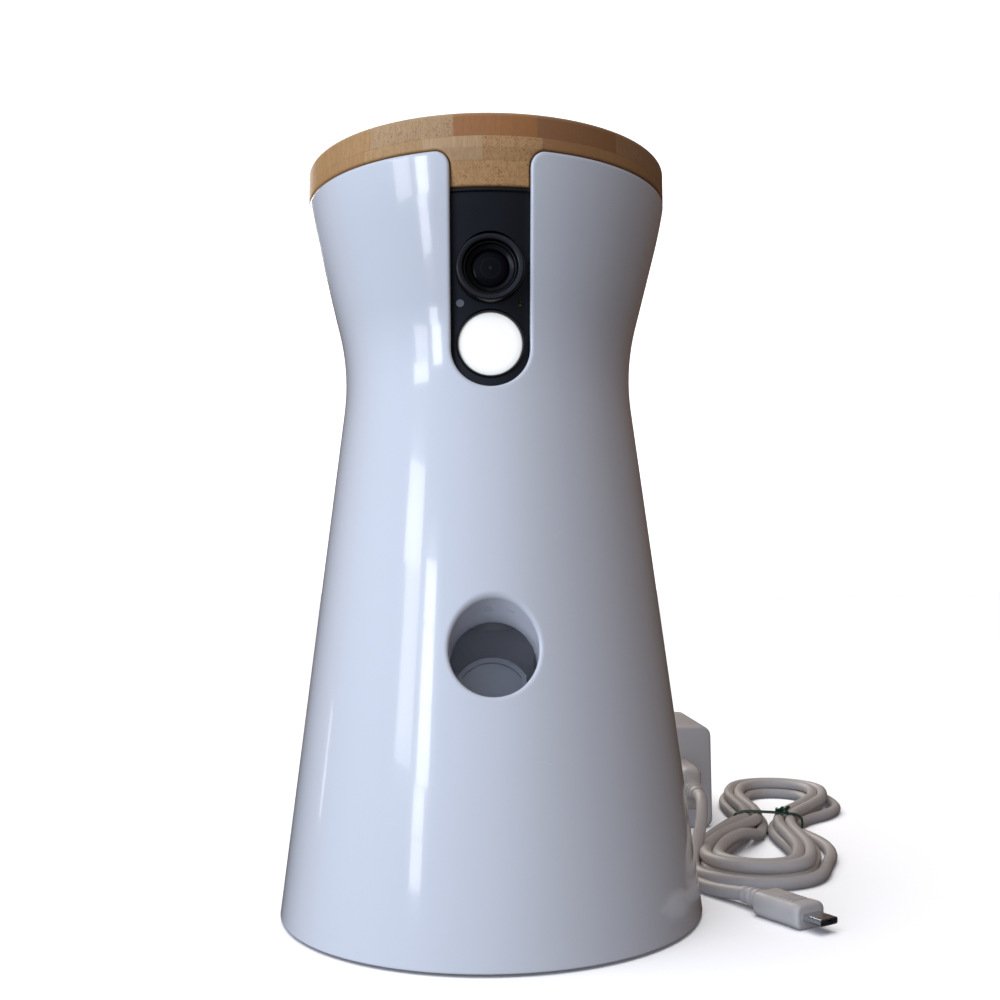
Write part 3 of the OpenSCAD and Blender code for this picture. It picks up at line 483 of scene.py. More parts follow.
MAT = {
    "shell_white": shell_material(),
    "tunnel_white": plastic("tunnel_satin_white", (0.64, 0.65, 0.695), 0.30, 0.03, 1200, 0.12, coat=0.25, coat_rough=0.12),
    "inner_white": plastic("inner_matt_white", (0.70, 0.71, 0.73), 0.5, 0.04, 1500, 0.2),
    "foot_rubber": plastic("foot_rubber_black", (0.020, 0.020, 0.022), 0.72, 0.2, 900, 0.5, 0.00006),
    "light_guide": plastic("light_guide_frosted", (0.80, 0.78, 0.70), 0.35, 0.03, 900, 0.1, sub=0.3),
    "steel_zinc": metal("steel_zinc_plated", (0.62, 0.63, 0.65), 0.28, (1, 60, 1)),
    "frame_grey": plastic("frame_light_grey", (0.52, 0.53, 0.54), 0.52, 0.05, 1300, 0.2),
    "rotor_orange": plastic("rotor_warm_orange", (0.72, 0.28, 0.06), 0.45, 0.06, 1300, 0.2),
    "motor_steel": metal("motor_can_steel", (0.50, 0.50, 0.52), 0.33, (40, 1, 1)),
    "launcher_pale": plastic("launcher_pale_grey", (0.80, 0.81, 0.87), 0.5, 0.04, 1300, 0.25),
    "paddle_grey": plastic("paddle_satin_grey", (0.37, 0.38, 0.415), 0.32, 0.05, 1300, 0.12, coat=0.2, coat_rough=0.2),
    "gear_acetal": plastic("gear_acetal_natural", (0.72, 0.70, 0.62), 0.38, 0.04, 1100, 0.12, sub=0.12),
    "spring_steel": metal("spring_wire", (0.45, 0.45, 0.47), 0.25, (60, 1, 1)),
    "pinion_brass": metal("pinion_turned_brass", (0.72, 0.50, 0.20), 0.28, (60, 1, 1)),
    "panel_black": panel_material(),
    "bezel_black": plastic("bezel_black", (0.006, 0.006, 0.008), 0.27, 0.15, 1700, 0.08, spec=0.32),
    "lens_glass": glass_material(),
    "board_green": board_material(),
    "window_white": window_material(),
    "sensor_grey": plastic("sensor_smoked", (0.075, 0.08, 0.09), 0.16, 0.08, 900, 0.05, coat=0.8),
    "speaker_dark": plastic("speaker_black", (0.022, 0.022, 0.024), 0.6, 0.15, 1000, 0.4),
    "lid_bamboo": bamboo_material(),
    "seal_silicone": plastic("seal_silicone", (0.58, 0.59, 0.60), 0.42, 0.04, 700, 0.15, sub=0.3),
    "adapter_white": plastic("adapter_satin_white", (0.62, 0.585, 0.565), 0.36, 0.03, 1600, 0.22, 0.00003, coat=0.12, coat_rough=0.2),
    "prong_nickel": metal("prong_nickel", (0.66, 0.63, 0.56), 0.2, (1, 1, 50)),
    "cord_grey": cord_material("cord_vinyl_grey", (0.62, 0.575, 0.535)),
    "tie_green": plastic("tie_dark_green", (0.006, 0.060, 0.030), 0.34, 0.2, 900, 0.35, 0.00008, coat=0.2),
}
slots = {s["node"]: s["material_slot"] for s in frame["record"]["subparts"]}
for nm, ob in nodes.items():
    m = MAT[slots[nm]]
    if len(ob.data.materials) == 0:
        ob.data.materials.append(m)
    for i in range(len(ob.data.materials)):
        ob.data.materials[i] = m


def piece(o, body, slot_name, *replaced):
    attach(o, body)
    if replaced:
        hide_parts(*replaced)
    return o


# ---- cord -------------------------------------------------------------------------
def catmull(P, step=1.5, closed=False):
    """Smooth curve through points, with centripetal spacing, resampled evenly."""
    P = np.array(P, float)
    A = np.vstack([2*P[0] - P[1], P, 2*P[-1] - P[-2]])
    out = []
    for i in range(1, len(A) - 2):
        p0, p1, p2, p3 = A[i - 1], A[i], A[i + 1], A[i + 2]
        t0 = 0.0
        t1 = t0 + max(np.linalg.norm(p1 - p0), 1e-6)**0.5
        t2 = t1 + max(np.linalg.norm(p2 - p1), 1e-6)**0.5
        t3 = t2 + max(np.linalg.norm(p3 - p2), 1e-6)**0.5
        for k in range(24):
            t = t1 + (t2 - t1)*k/24
            a1 = (t1 - t)/(t1 - t0)*p0 + (t - t0)/(t1 - t0)*p1
            a2 = (t2 - t)/(t2 - t1)*p1 + (t - t1)/(t2 - t1)*p2
            a3 = (t3 - t)/(t3 - t2)*p2 + (t - t2)/(t3 - t2)*p3
            b1 = (t2 - t)/(t2 - t0)*a1 + (t - t0)/(t2 - t0)*a2
            b2 = (t3 - t)/(t3 - t1)*a2 + (t - t1)/(t3 - t1)*a3
            out.append((t2 - t)/(t2 - t1)*b1 + (t - t1)/(t2 - t1)*b2)
    out.append(P[-1])
    return resample(np.array(out), step)


def resample(Q, step):
    d = np.concatenate([[0], np.cumsum(np.linalg.norm(np.diff(Q, axis=0), axis=1))])
    n = max(2, int(round(d[-1]/step)))
    s = np.linspace(0, d[-1], n + 1)
    return np.stack([np.interp(s, d, Q[:, k]) for k in range(3)], 1)


HN, HF = np.array([90.0, 32.0]), np.array([128.0, 146.0])
HM = (HN + HF)/2
HA = (HF - HN)/np.linalg.norm(HF - HN)
HB = np.array([HA[1], -HA[0]])
HDIR = math.degrees(math.atan2(HA[1], HA[0]))
LZ, UZ = 2.1, 5.8


def hk(s, o, z):
    p = HM + s*HA + o*HB
    return [p[0], p[1], z]


def arc(c, r0, r1, a0, a1, z0, z1, n):
    out = []
    for k in range(n):
        t = k/(n - 1)
        a = rad(a0 + (a1 - a0)*t)
        r = r0 + (r1 - r0)*t
        z = z0 + (z1 - z0)*t if not callable(z0) else z0(t)
        out.append([c[0] + r*cos(a), c[1] + r*sin(a), z])
    return out


def near_arc(r, z, a0=90 + 8, a1=270 - 8, n=9):
    return arc(HN, r, r, HDIR + a0, HDIR + a1, z, z, n)


def far_arc(r, z, n=9):
    return arc(HF, r, r, HDIR - 90 + 8, HDIR + 90 - 8, z, z, n)


def left(of, ot, on, z, zt=None):
    """Left side from the far fold to the near one, pinched at the tie."""
    zt = z if zt is None else zt
    return [hk(46, -of*0.985 - 0.2, z), hk(30, -(of*0.62 + ot*0.38), z), hk(14, -(of*0.16 + ot*0.84), zt), hk(3, -ot, zt), hk(-3, -ot, zt),
            hk(-14, -(on*0.16 + ot*0.84), zt), hk(-30, -(on*0.62 + ot*0.38), z), hk(-46, -on*0.985 - 0.2, z)]


def right(on, ot, of, z, zt=None):
    zt = z if zt is None else zt
    return [hk(-46, on*0.985 + 0.2, z), hk(-30, on*0.62 + ot*0.38, z), hk(-14, on*0.16 + ot*0.84, zt), hk(-3, ot, zt), hk(3, ot, zt),
            hk(14, of*0.16 + ot*0.84, zt), hk(30, of*0.62 + ot*0.38, z), hk(46, of*0.985 + 0.2, z)]


LEAD = [[77, 65, 20], [77, 61.5, 20], [76.6, 56, 19], [74.6, 48, 13.5], [71.4, 41, 7], [69, 34.5, 3.2], [68.6, 28, 2.2], [70.2, 22, 2.1]]
NEAR_LOOP = [[110, 25, 2.1], [114.5, 34, 2.1], [119, 44, 2.1], [121.5, 55, 2.1], [121.5, 66, 2.1], [119.8, 75.5, 2.1], [118.2, 82.1, 2.1]]
INNER_LOOP = [[106.3, 26.6, 2.1], [110.5, 36, 2.1], [114, 46, 2.1], [115.8, 56, 2.1], [116, 67, 2.1], [115.2, 76, 2.1], [114.1, 83.5, 2.1]]
FAR_LOOP = [[120.5, 89, 2.1], [123.2, 96, 2.1], [130, 104, 2.1], [140, 113, 2.1], [147, 124, 2.1], [149, 136, 2.1], [148.9, 148, 2.1]]
TAIL = [[93.1, 80.6, 6.2], [85.9, 72.5, 4.9], [79, 64.2, 3.2], [73.2, 55.6, 2.2], [69.6, 48.8, 2.1], [66.2, 41.4, 2.1], [63, 33.6, 2.1], [62.2, 24.4, 2.1], [65.2, 14, 2.1], [69.2, 5.2, 2.3], [73.2, -1.2, 3], [76, -5.4, 3.6]]
route = []
route += LEAD
route += arc(HN, 22, 21.5, HDIR + 149, HDIR + 258, LZ, LZ, 6)
route += NEAR_LOOP[1:]
route += FAR_LOOP
route += arc(HF, 21.2, 21.3, HDIR - 58, HDIR + 82, LZ, LZ, 7)
route += left(21.3, 10.75, 17.2, LZ)
route += near_arc(17.2, LZ, a1=252)
route += INNER_LOOP[1:]
route += [hk(3, 6.45, LZ), hk(14, 8.4, LZ), hk(30, 13, LZ), hk(46, 16.8, LZ)]
route += far_arc(17.0, LZ)
route += left(17.0, 6.45, 12.9, LZ)
route += near_arc(12.9, LZ)
route += right(12.9, 2.15, 12.7, LZ)
route += far_arc(12.7, LZ)
route += [hk(46, -12.7, LZ), hk(30, -8.7, LZ), hk(14, -3.8, LZ), hk(3, -2.15, LZ), hk(-4, -2.15, LZ), hk(-13, -2.5, 2.4),
          hk(-24, -4.9, 4.9), hk(-34, -8.0, 6.5), hk(-46, -11.6, 6.3)]
route += near_arc(12.8, UZ)
route += right(12.8, 4.3, 15.0, UZ)
route += far_arc(15.0, UZ)
route += [hk(46, -14.8, UZ), hk(30, -10.9, UZ), hk(14, -5.9, UZ), hk(3, -4.3, UZ), hk(-4, -4.6, UZ), hk(-14, -8.2, 6.0), hk(-24, -11.4, 6.1),
          hk(-36, -14.7, 6.0), hk(-48, -16.9, 5.9)]
route += near_arc(17.0, 5.9)
route += right(17.0, 8.6, 19.2, UZ)
route += far_arc(19.2, UZ)
route += left(19.2, 8.6, 19.6, UZ)[:-3]
route += TAIL
route = catmull(route, 1.6)
# ease the small kinks where the stretches join
for _ in range(30):
    for lam in (0.5, -0.53):
        mid = route.copy()
        mid[1:-1] += lam*(0.5*(route[:-2] + route[2:]) - route[1:-1])
        route = mid
route[:, 2] = np.maximum(route[:, 2], 2.1)
route = resample(route, 1.6)
CORD_LEN = float(np.linalg.norm(np.diff(route, axis=0), axis=1).sum())
dd = np.diff(route, axis=0)
tt = dd/np.linalg.norm(dd, axis=1)[:, None]
bend = 1.6/np.maximum(1e-9, np.linalg.norm(np.diff(tt, axis=0), axis=1))
print("cord length mm", round(CORD_LEN, 1), "tightest bend radius mm", round(float(bend.min()), 1), "at", route[int(bend.argmin()) + 1].round(1))

cd = bpy.data.curves.new("power_cord", "CURVE")
cd.dimensions = "3D"
cd.bevel_depth = 2.1*MM
cd.bevel_resolution = 5
cd.use_fill_caps = True
sp = cd.splines.new("POLY")
sp.points.add(len(route) - 1)
for p, q in zip(sp.points, route):
    p.co = (q[0]*MM, q[1]*MM, q[2]*MM, 1)
sp.use_smooth = True
cord = bpy.data.objects.new("power_cord", cd)
bpy.context.scene.collection.objects.link(cord)
cd.materials.append(MAT["cord_grey"])
piece(cord, "base_unit", "cord_grey", "cord_lead", "cord_hank", "cord_loops", "cord_tail")

# ---- tie: a twisted green strap round the waist of the hank ------------------------
def strap(name, path, widthdir, w, t, mat):
    """Flat strap along a path; widthdir gives the direction of its width at each point."""
    verts, faces = [], []
    n = len(path)
    for i, p in enumerate(path):
        p = Vector(p)
        a = Vector(path[max(i - 1, 0)])
        b = Vector(path[min(i + 1, n - 1)])
        tan = (b - a).normalized()
        wd_ = Vector(widthdir[i]).normalized()
        nn = tan.cross(wd_).normalized()
        for sx, sy in ((-1, -0.5), (-0.6, -1), (0.6, -1), (1, -0.5), (1, 0.5), (0.6, 1), (0, 1.5), (-0.6, 1), (-1, 0.5)):
            verts.append(p + wd_*(sx*w/2) + nn*(sy*t/2))
    k = 9
    for i in range(n - 1):
        for j in range(k):
            j2 = (j + 1) % k
            faces.append((i*k + j, i*k + j2, (i + 1)*k + j2, (i + 1)*k + j))
    faces.append(tuple(range(k - 1, -1, -1)))
    faces.append(tuple((n - 1)*k + j for j in range(k)))
    o = make(name, verts, faces, mat)
    fix_normals(o)
    return o


def tie_loop():
    pts, wds = [], []
    half, top, low = 13.0, 8.2, 0.35
    ring = []
    for k in range(64):
        a = 2*pi*k/64
        c, s = cos(a), sin(a)
        # a flat oval round the strands
        ex = half*math.copysign(abs(c)**0.42, c)
        ez = (top - low)/2*math.copysign(abs(s)**0.55, s) + (top + low)/2
        ring.append((ex, ez))
    start = 13
    for k in range(65):
        ex, ez = ring[(start + k) % 64]
        pts.append(hk(0.35*sin(k*0.35), ex, ez))
        wds.append((HA[0], HA[1], 0))
    return pts, wds


tp, tw = tie_loop()
tie = strap("cord_tie_strap", tp, tw, 3.4, 0.7, MAT["tie_green"])
ends = []
for sgn in (-1, 1):
    pts, wds = [], []
    for k in range(26):
        t = k/25
        a = t*3.2*pi + (0 if sgn > 0 else pi)
        base = np.array(hk(0, 3.0 + 5.5*t, 8.9 + 1.1*sin(pi*t)*0.6))
        off = 0.75*(1 - 0.2*t) if t < 0.72 else 0.75 + (t - 0.72)*9
        sd = np.array([HA[0], HA[1], 0])*cos(a if t < 0.72 else 0.72*3.2*pi + (0 if sgn > 0 else pi))
        up = np.array([0, 0, 1])*sin(a if t < 0.72 else 0.72*3.2*pi + (0 if sgn > 0 else pi))*0.5
        pts.append(base + off*(sd + up))
        wds.append(np.array([0, 0, 1.0])*cos(a*0.8) + np.array([HA[0], HA[1], 0])*sin(a*0.8) + 1e-4)
    ends.append(strap(f"cord_tie_end_{'a' if sgn < 0 else 'b'}", pts, wds, 1.7, 0.55, MAT["tie_green"]))
for e in ends:
    piece(e, "base_unit", "tie_green")
piece(tie, "base_unit", "tie_green", "cord_tie")

# ---- small plug --------------------------------------------------------------------
mp_m = Matrix.Translation((76, -5.4, 3.6)) @ Matrix.Rotation(rad(-60), 4, "Z") @ Matrix(((0, 0, 1, 0), (1, 0, 0, 0), (0, 1, 0, 0), (0, 0, 0, 1)))
secs = []
relief = [(0, 2.32), (0.5, 2.45), (1.6, 2.5), (2.0, 2.2), (2.6, 2.2), (3.0, 2.62), (4.1, 2.68), (4.5, 2.32), (5.1, 2.32), (5.5, 2.8), (6.6, 2.85), (7.0, 2.45), (7.6, 2.45), (8.0, 3.0), (9.0, 3.05)]
circ = [(cos(2*pi*k/28 + pi/28), sin(2*pi*k/28 + pi/28)) for k in range(28)]
micro_relief = loft("micro_plug_relief", [([(r*x, r*y) for x, y in circ], h) for h, r in relief], mp_m, MAT["cord_grey"])
body_secs = [(rounded(11 - 2*i, 7 - 2*i, 2.2 - min(i, 1.2)*0.8), h) for i, h in ((1.1, 9.0), (0.55, 9.15), (0.2, 9.5), (0.0, 10.1), (0.0, 16.0), (0.12, 18.0), (0.12, 22.5), (0.0, 24.5), (0.0, 26.2), (0.2, 26.7), (0.6, 27.0), (1.2, 27.0))]
micro_body = loft("micro_plug_body", body_secs, mp_m, MAT["cord_grey"])
piece(micro_body, "base_unit", "cord_grey", "micro_usb_plug")
piece(micro_relief, "base_unit", "cord_grey")
ground = []
for k in range(5):
    y0 = 17.6 + k*1.15
    ground.append(loft(f"micro_plug_rib_{k}", [(rounded(6.4 - 2*i, 0.62 - 0.4*i, 0.2), h) for i, h in ((0, 3.3), (0, 3.56), (0.15, 3.72))],
                       mp_m @ Matrix.Translation((0, 0, y0)) @ Matrix.Rotation(rad(-90), 4, "X"), MAT["cord_grey"]))
for g in ground:
    piece(g, "base_unit", "cord_grey")

# ---- large plug with its relief ------------------------------------------------------
ua_m = Matrix.Translation((77, 98, 20)) @ Matrix.Rotation(rad(90), 4, "X")
ua_secs = [(rounded(7.6 - 2*i, 15.6 - 2*i, 2.4 - i), h) for i, h in ((0.8, 0.0), (0.3, 0.15), (0.0, 0.6), (0.0, 20.0), (0.25, 22.4), (0.8, 23.6), (1.5, 24.0))]
usb_body = loft("large_plug_body", ua_secs, ua_m, MAT["cord_grey"])
ua_rel = [(24.0 + h*1.0, r) for h, r in ((0, 3.6), (0.8, 3.6), (1.2, 2.9), (1.9, 2.9), (2.3, 3.35), (3.1, 3.3), (3.5, 2.65), (4.2, 2.65), (4.6, 3.05), (5.4, 3.0), (5.8, 2.45), (6.5, 2.45), (6.9, 2.75), (7.8, 2.65), (9.0, 2.4))]
usb_relief = loft("large_plug_relief", [([(r*x, r*y) for x, y in circ], h) for h, r in ua_rel], ua_m, MAT["cord_grey"])
piece(usb_body, "base_unit", "cord_grey", "usb_a_plug")
piece(usb_relief, "base_unit", "cord_grey")

# ---- adapter ---------------------------------------------------------------------------
def case(name, y0, y1, close_near, close_far, mat, bev=1.3):
    m = Matrix.Translation((77, 0, 20)) @ Matrix.Rotation(rad(90), 4, "X")
    secs = []
    rr = 4.0
    steps = [(bev*(1 - sin(a)), bev*(1 - cos(a))) for a in [k*pi/12 for k in range(7)]]
    # distance along -Y in this frame: h = -y
    if close_near:
        for inset, dist in steps:
            secs.append((rounded(26 - 2*inset, 40 - 2*inset, rr - inset*0.9, 8), -(y0 + dist)))
    else:
        secs.append((rounded(26 - 0.5, 40 - 0.5, rr - 0.25, 8), -(y0)))
        secs.append((rounded(26, 40, rr, 8), -(y0 + 0.25)))
    if close_far:
        for inset, dist in reversed(steps):
            secs.append((rounded(26 - 2*inset, 40 - 2*inset, rr - inset*0.9, 8), -(y1 - dist)))
    else:
        secs.append((rounded(26, 40, rr, 8), -(y1 - 0.25)))
        secs.append((rounded(26 - 0.5, 40 - 0.5, rr - 0.25, 8), -(y1)))
    o = loft(name, secs, m, mat, sharp=50)
    return o


cover = case("adapter_cover_shell", 139.2, 150, False, True, MAT["adapter_white"])
piece(cover, "base_unit", "adapter_white", "adapter_cover")
# main half, with the real socket opening at its front
main = case("adapter_case_shell", 100, 139, True, False, MAT["adapter_white"])
cutter = loft("cut", [(rounded(5.8, 13.6, 0.4), -90), (rounded(5.8, 13.6, 0.4), -113.6)], Matrix.Translation((77, 0, 20)) @ Matrix.Rotation(rad(90), 4, "X"), None)
applied(main, ("BOOLEAN", {"object": cutter, "operation": "DIFFERENCE", "solver": "EXACT"}))
cm = cutter.data
bpy.data.objects.remove(cutter)
bpy.data.meshes.remove(cm)
for p in main.data.polygons:
    p.use_smooth = True
main.data.set_sharp_from_angle(angle=rad(50))
piece(main, "base_unit", "adapter_white", "adapter_case")

# ---- outline of the body -----------------------------------------------------------------
BR, WZ, LL, UL, WB, RZ, RL, WALL = 63.4, 163.7, rad(7.1), rad(14.7), 70.0, 215.0, rad(9.6), 2.85
RK = BR - WZ*math.tan(LL)
BT = WB*math.tan((LL + UL)/2)
TA = (RK + BT*sin(LL), WZ - BT*cos(LL))
BC = (TA[0] + WB*cos(LL), TA[1] + WB*sin(LL))
TB = (RK + BT*sin(UL), WZ + BT*cos(UL))
TR0 = RK + (200 - WZ)*math.tan(UL)
TR = (RZ - 200)/(sin(UL) - sin(RL))
TC = (TR0 - TR*cos(UL), 200 + TR*sin(UL))


def R(z):
    """Radius of the outer face at height z, and its slope dR/dz."""
    if z <= TA[1]:
        return BR - z*math.tan(LL), -math.tan(LL)
    if z <= TB[1]:
        s = (BC[1] - z)/WB
        c = math.sqrt(1 - s*s)
        return BC[0] - WB*c, -s/c
    if z <= 200:
        return RK + (z - WZ)*math.tan(UL), math.tan(UL)
    s = (TC[1] - z)/TR
    c = math.sqrt(max(0, 1 - s*s))
    return TC[0] + TR*c, s/c


RIM_R = R(RZ)[0]


def at(th, z, d=0.0):
    r, _ = R(z)
    r -= d
    return Vector((r*sin(th), -r*cos(th), z))


def normal_at(th, z):
    _, k = R(z)
    n = Vector((1, 0, -k)).normalized()
    return Vector((n.x*sin(th), -n.x*cos(th), n.z))


def th_of(x, z, back=False, d=0.0):
    r = R(z)[0] - d
    t = math.asin(max(-1, min(1, x/r)))
    return -pi - t if back else t


def inside(poly, pts):
    x, y = pts[:, 0], pts[:, 1]
    res = np.zeros(len(pts), bool)
    n = len(poly)
    j = n - 1
    for i in range(n):
        xi, yi = poly[i]
        xj, yj = poly[j]
        c = ((yi > y) != (yj > y)) & (x < (xj - xi)*(y - yi)/((yj - yi) or 1e-12) + xi)
        res ^= c
        j = i
    return res


def fill(outer, holes, scale, gap, grid):
    """Triangles over a flat region bounded by outer, with holes. Points are (u, v); scale makes u and v alike."""
    loops = [outer] + holes
    pts = [tuple(p) for lp in loops for p in lp]
    edges, k = [], 0
    for lp in loops:
        n = len(lp)
        edges += [(k + i, k + (i + 1) % n) for i in range(n)]
        k += n
    B = np.array(pts)*np.array([scale, 1])
    G = np.array(grid)
    ok = inside(np.array(outer), G)
    for h in holes:
        ok &= ~inside(np.array(h), G)
    G = G[ok]
    GS = G*np.array([scale, 1])
    far = np.ones(len(G), bool)
    for i in range(0, len(G), 4000):
        dmin = np.min(np.linalg.norm(GS[i:i + 4000, None, :] - B[None], axis=2), axis=1)
        far[i:i + 4000] = dmin > gap
    G = G[far]
    allp = pts + [tuple(g) for g in G]
    res = delaunay_2d_cdt([Vector((p[0]*scale, p[1])) for p in allp], edges, [], 0, 1e-9)
    V, F, orig = res[0], res[2], res[3]
    idx = [o[0] if o else -1 for o in orig]
    C = np.array([[sum(V[i].x for i in f)/3/scale, sum(V[i].y for i in f)/3] for f in F])
    good = inside(np.array(outer), C)
    for h in holes:
        good &= ~inside(np.array(h), C)
    faces = []
    for f, g in zip(F, good):
        if g:
            a, b, c = [idx[i] for i in f]
            if min(a, b, c) < 0:
                raise RuntimeError("the fill made a new point")
            faces.append((a, b, c))
    return allp, faces


def bez(a, b, c, t):
    return a*((1 - t)**2) + b*(2*t*(1 - t)) + c*(t*t)


# shell: the edge curves are lists of (theta, z, K sharp edge point, direction of the wall)
FIL = 1.25
LIP = 1.5
HORN = 4.4
SEAM = pi/2


def rim_items():
    items = []
    # starts at the seam on the far left (theta = -3pi/2) and runs to the right
    hx = 11.0 + HORN
    def dirn(th):
        return Vector((-sin(th), cos(th), 0))
    t0 = th_of(-hx, RZ)
    n = 150
    for k in range(n):
        th = -1.5*pi + (t0 + 1.5*pi)*k/n
        items.append(((th, RZ - FIL*0.98), (th, RZ), dirn(th)))
    def slotdir(x, z):
        th = th_of(x, z)
        w = max(0.0, min(1.0, (abs(x) - 11)/HORN))
        return Vector((-sin(th*w), cos(th*w), 0))
    for k in range(13):
        a = rad(90 - 90*k/12)
        kx, kz = -hx + HORN*cos(a), RZ - HORN + HORN*sin(a)
        px, pz = -hx + (HORN - FIL)*cos(a), RZ - HORN + (HORN - FIL)*sin(a)
        items.append(((th_of(px, pz), pz), (th_of(kx, kz), kz), slotdir(kx, kz)))
    m = 24
    for k in range(1, m):
        z = RZ - HORN - (RZ - HORN - 163.3)*k/m
        items.append(((th_of(-11 - FIL, z), z), (th_of(-11, z), z), Vector((0, 1, 0))))
    for k in range(41):
        a = pi + pi*k/40
        z1, z2 = 163.3 + (11 + FIL)*sin(a), 163.3 + 11*sin(a)
        items.append(((th_of((11 + FIL)*cos(a), z1), z1), (th_of(11*cos(a), z2), z2), Vector((0, 1, 0))))
    for k in range(1, m):
        z = 163.3 + (RZ - HORN - 163.3)*k/m
        items.append(((th_of(11 + FIL, z), z), (th_of(11, z), z), Vector((0, 1, 0))))
    for k in range(13):
        a = rad(180 - 90*k/12)
        kx, kz = hx + HORN*cos(a), RZ - HORN + HORN*sin(a)
        px, pz = hx + (HORN - FIL)*cos(a), RZ - HORN + (HORN - FIL)*sin(a)
        items.append(((th_of(px, pz), pz), (th_of(kx, kz), kz), slotdir(kx, kz)))
    t1 = th_of(hx, RZ)
    n = 46
    for k in range(1, n + 1):
        th = t1 + (SEAM - t1)*k/n
        items.append(((th, RZ - FIL*0.98), (th, RZ), dirn(th)))
    return items


def foot_items():
    out = []
    n = 200
    for k in range(n + 1):
        th = SEAM - 2*pi*k/n
        out.append(((th, 0.8 + 0.6), (th, 0.8), Vector((-sin(th), cos(th), 0))))
    return out


HR = 12.0
TUN_O = Vector((0, -(BR - 81.8*math.tan(LL)), 81.8))
TUN_D = Vector((0, cos(rad(30)), -sin(rad(30))))
TUN_U = Vector((1, 0, 0))
TUN_V = TUN_U.cross(TUN_D) * -1


def on_tunnel(r, ph):
    """Point of the outer face on the line of the tunnel's cylinder at angle ph."""
    base = TUN_O + TUN_U*(r*cos(ph)) + TUN_V*(r*sin(ph))
    a, b = -12.0, 14.0
    for _ in range(60):
        m = (a + b)/2
        p = base + TUN_D*m
        if math.hypot(p.x, p.y) > R(p.z)[0]:
            a = m
        else:
            b = m
    return base + TUN_D*a


def hole_items(n=96):
    out = []
    for k in range(n):
        ph = 2*pi*k/n
        K = on_tunnel(HR, ph)
        P = on_tunnel(HR + LIP, ph)
        out.append(((math.atan2(P.x, -P.y), P.z), (math.atan2(K.x, -K.y), K.z), TUN_D))
    return out


def round_items(cx, cz, w, h, r, f, back=True, seg=6):
    out = []
    if w == h == 2*r:
        pts = [(r*cos(2*pi*k/(4*seg)), r*sin(2*pi*k/(4*seg))) for k in range(4*seg)]
        big = [((r + f)*cos(2*pi*k/(4*seg)), (r + f)*sin(2*pi*k/(4*seg))) for k in range(4*seg)]
    else:
        pts = rounded(w, h, r, seg)
        big = rounded(w + 2*f, h + 2*f, r + f, seg)
    for (x, z), (x2, z2) in zip(pts, big):
        out.append(((th_of(cx + x2, cz + z2, back), cz + z2), (th_of(cx + x, cz + z, back), cz + z), Vector((0, -1, 0))))
    return out


def strips(items, f, closed, depth_in=None, f_in=0.35, step_out=None, nb=5):
    """Rings of points from the outer face over a rounded edge and along the wall to the inner face."""
    rings = [[] for _ in range(nb + 1)]
    tail, inner = [], []
    for P, K, d in items:
        p3, k3 = at(*P), at(*K)
        q3 = k3 + d*f
        for j in range(nb + 1):
            rings[j].append(bez(p3, k3, q3, j/nb))
        # where the wall meets the inner face
        a, b = 0.0, 12.0
        for _ in range(50):
            m = (a + b)/2
            c = k3 + d*m
            zc = max(0.5, min(c.z, RZ))
            if math.hypot(c.x, c.y) > R(zc)[0] - WALL:
                a = m
            else:
                b = m
        e3 = k3 + d*a
        tail.append(k3 + d*(a - 0.2))
        inner.append(e3)
    return rings + [tail], inner


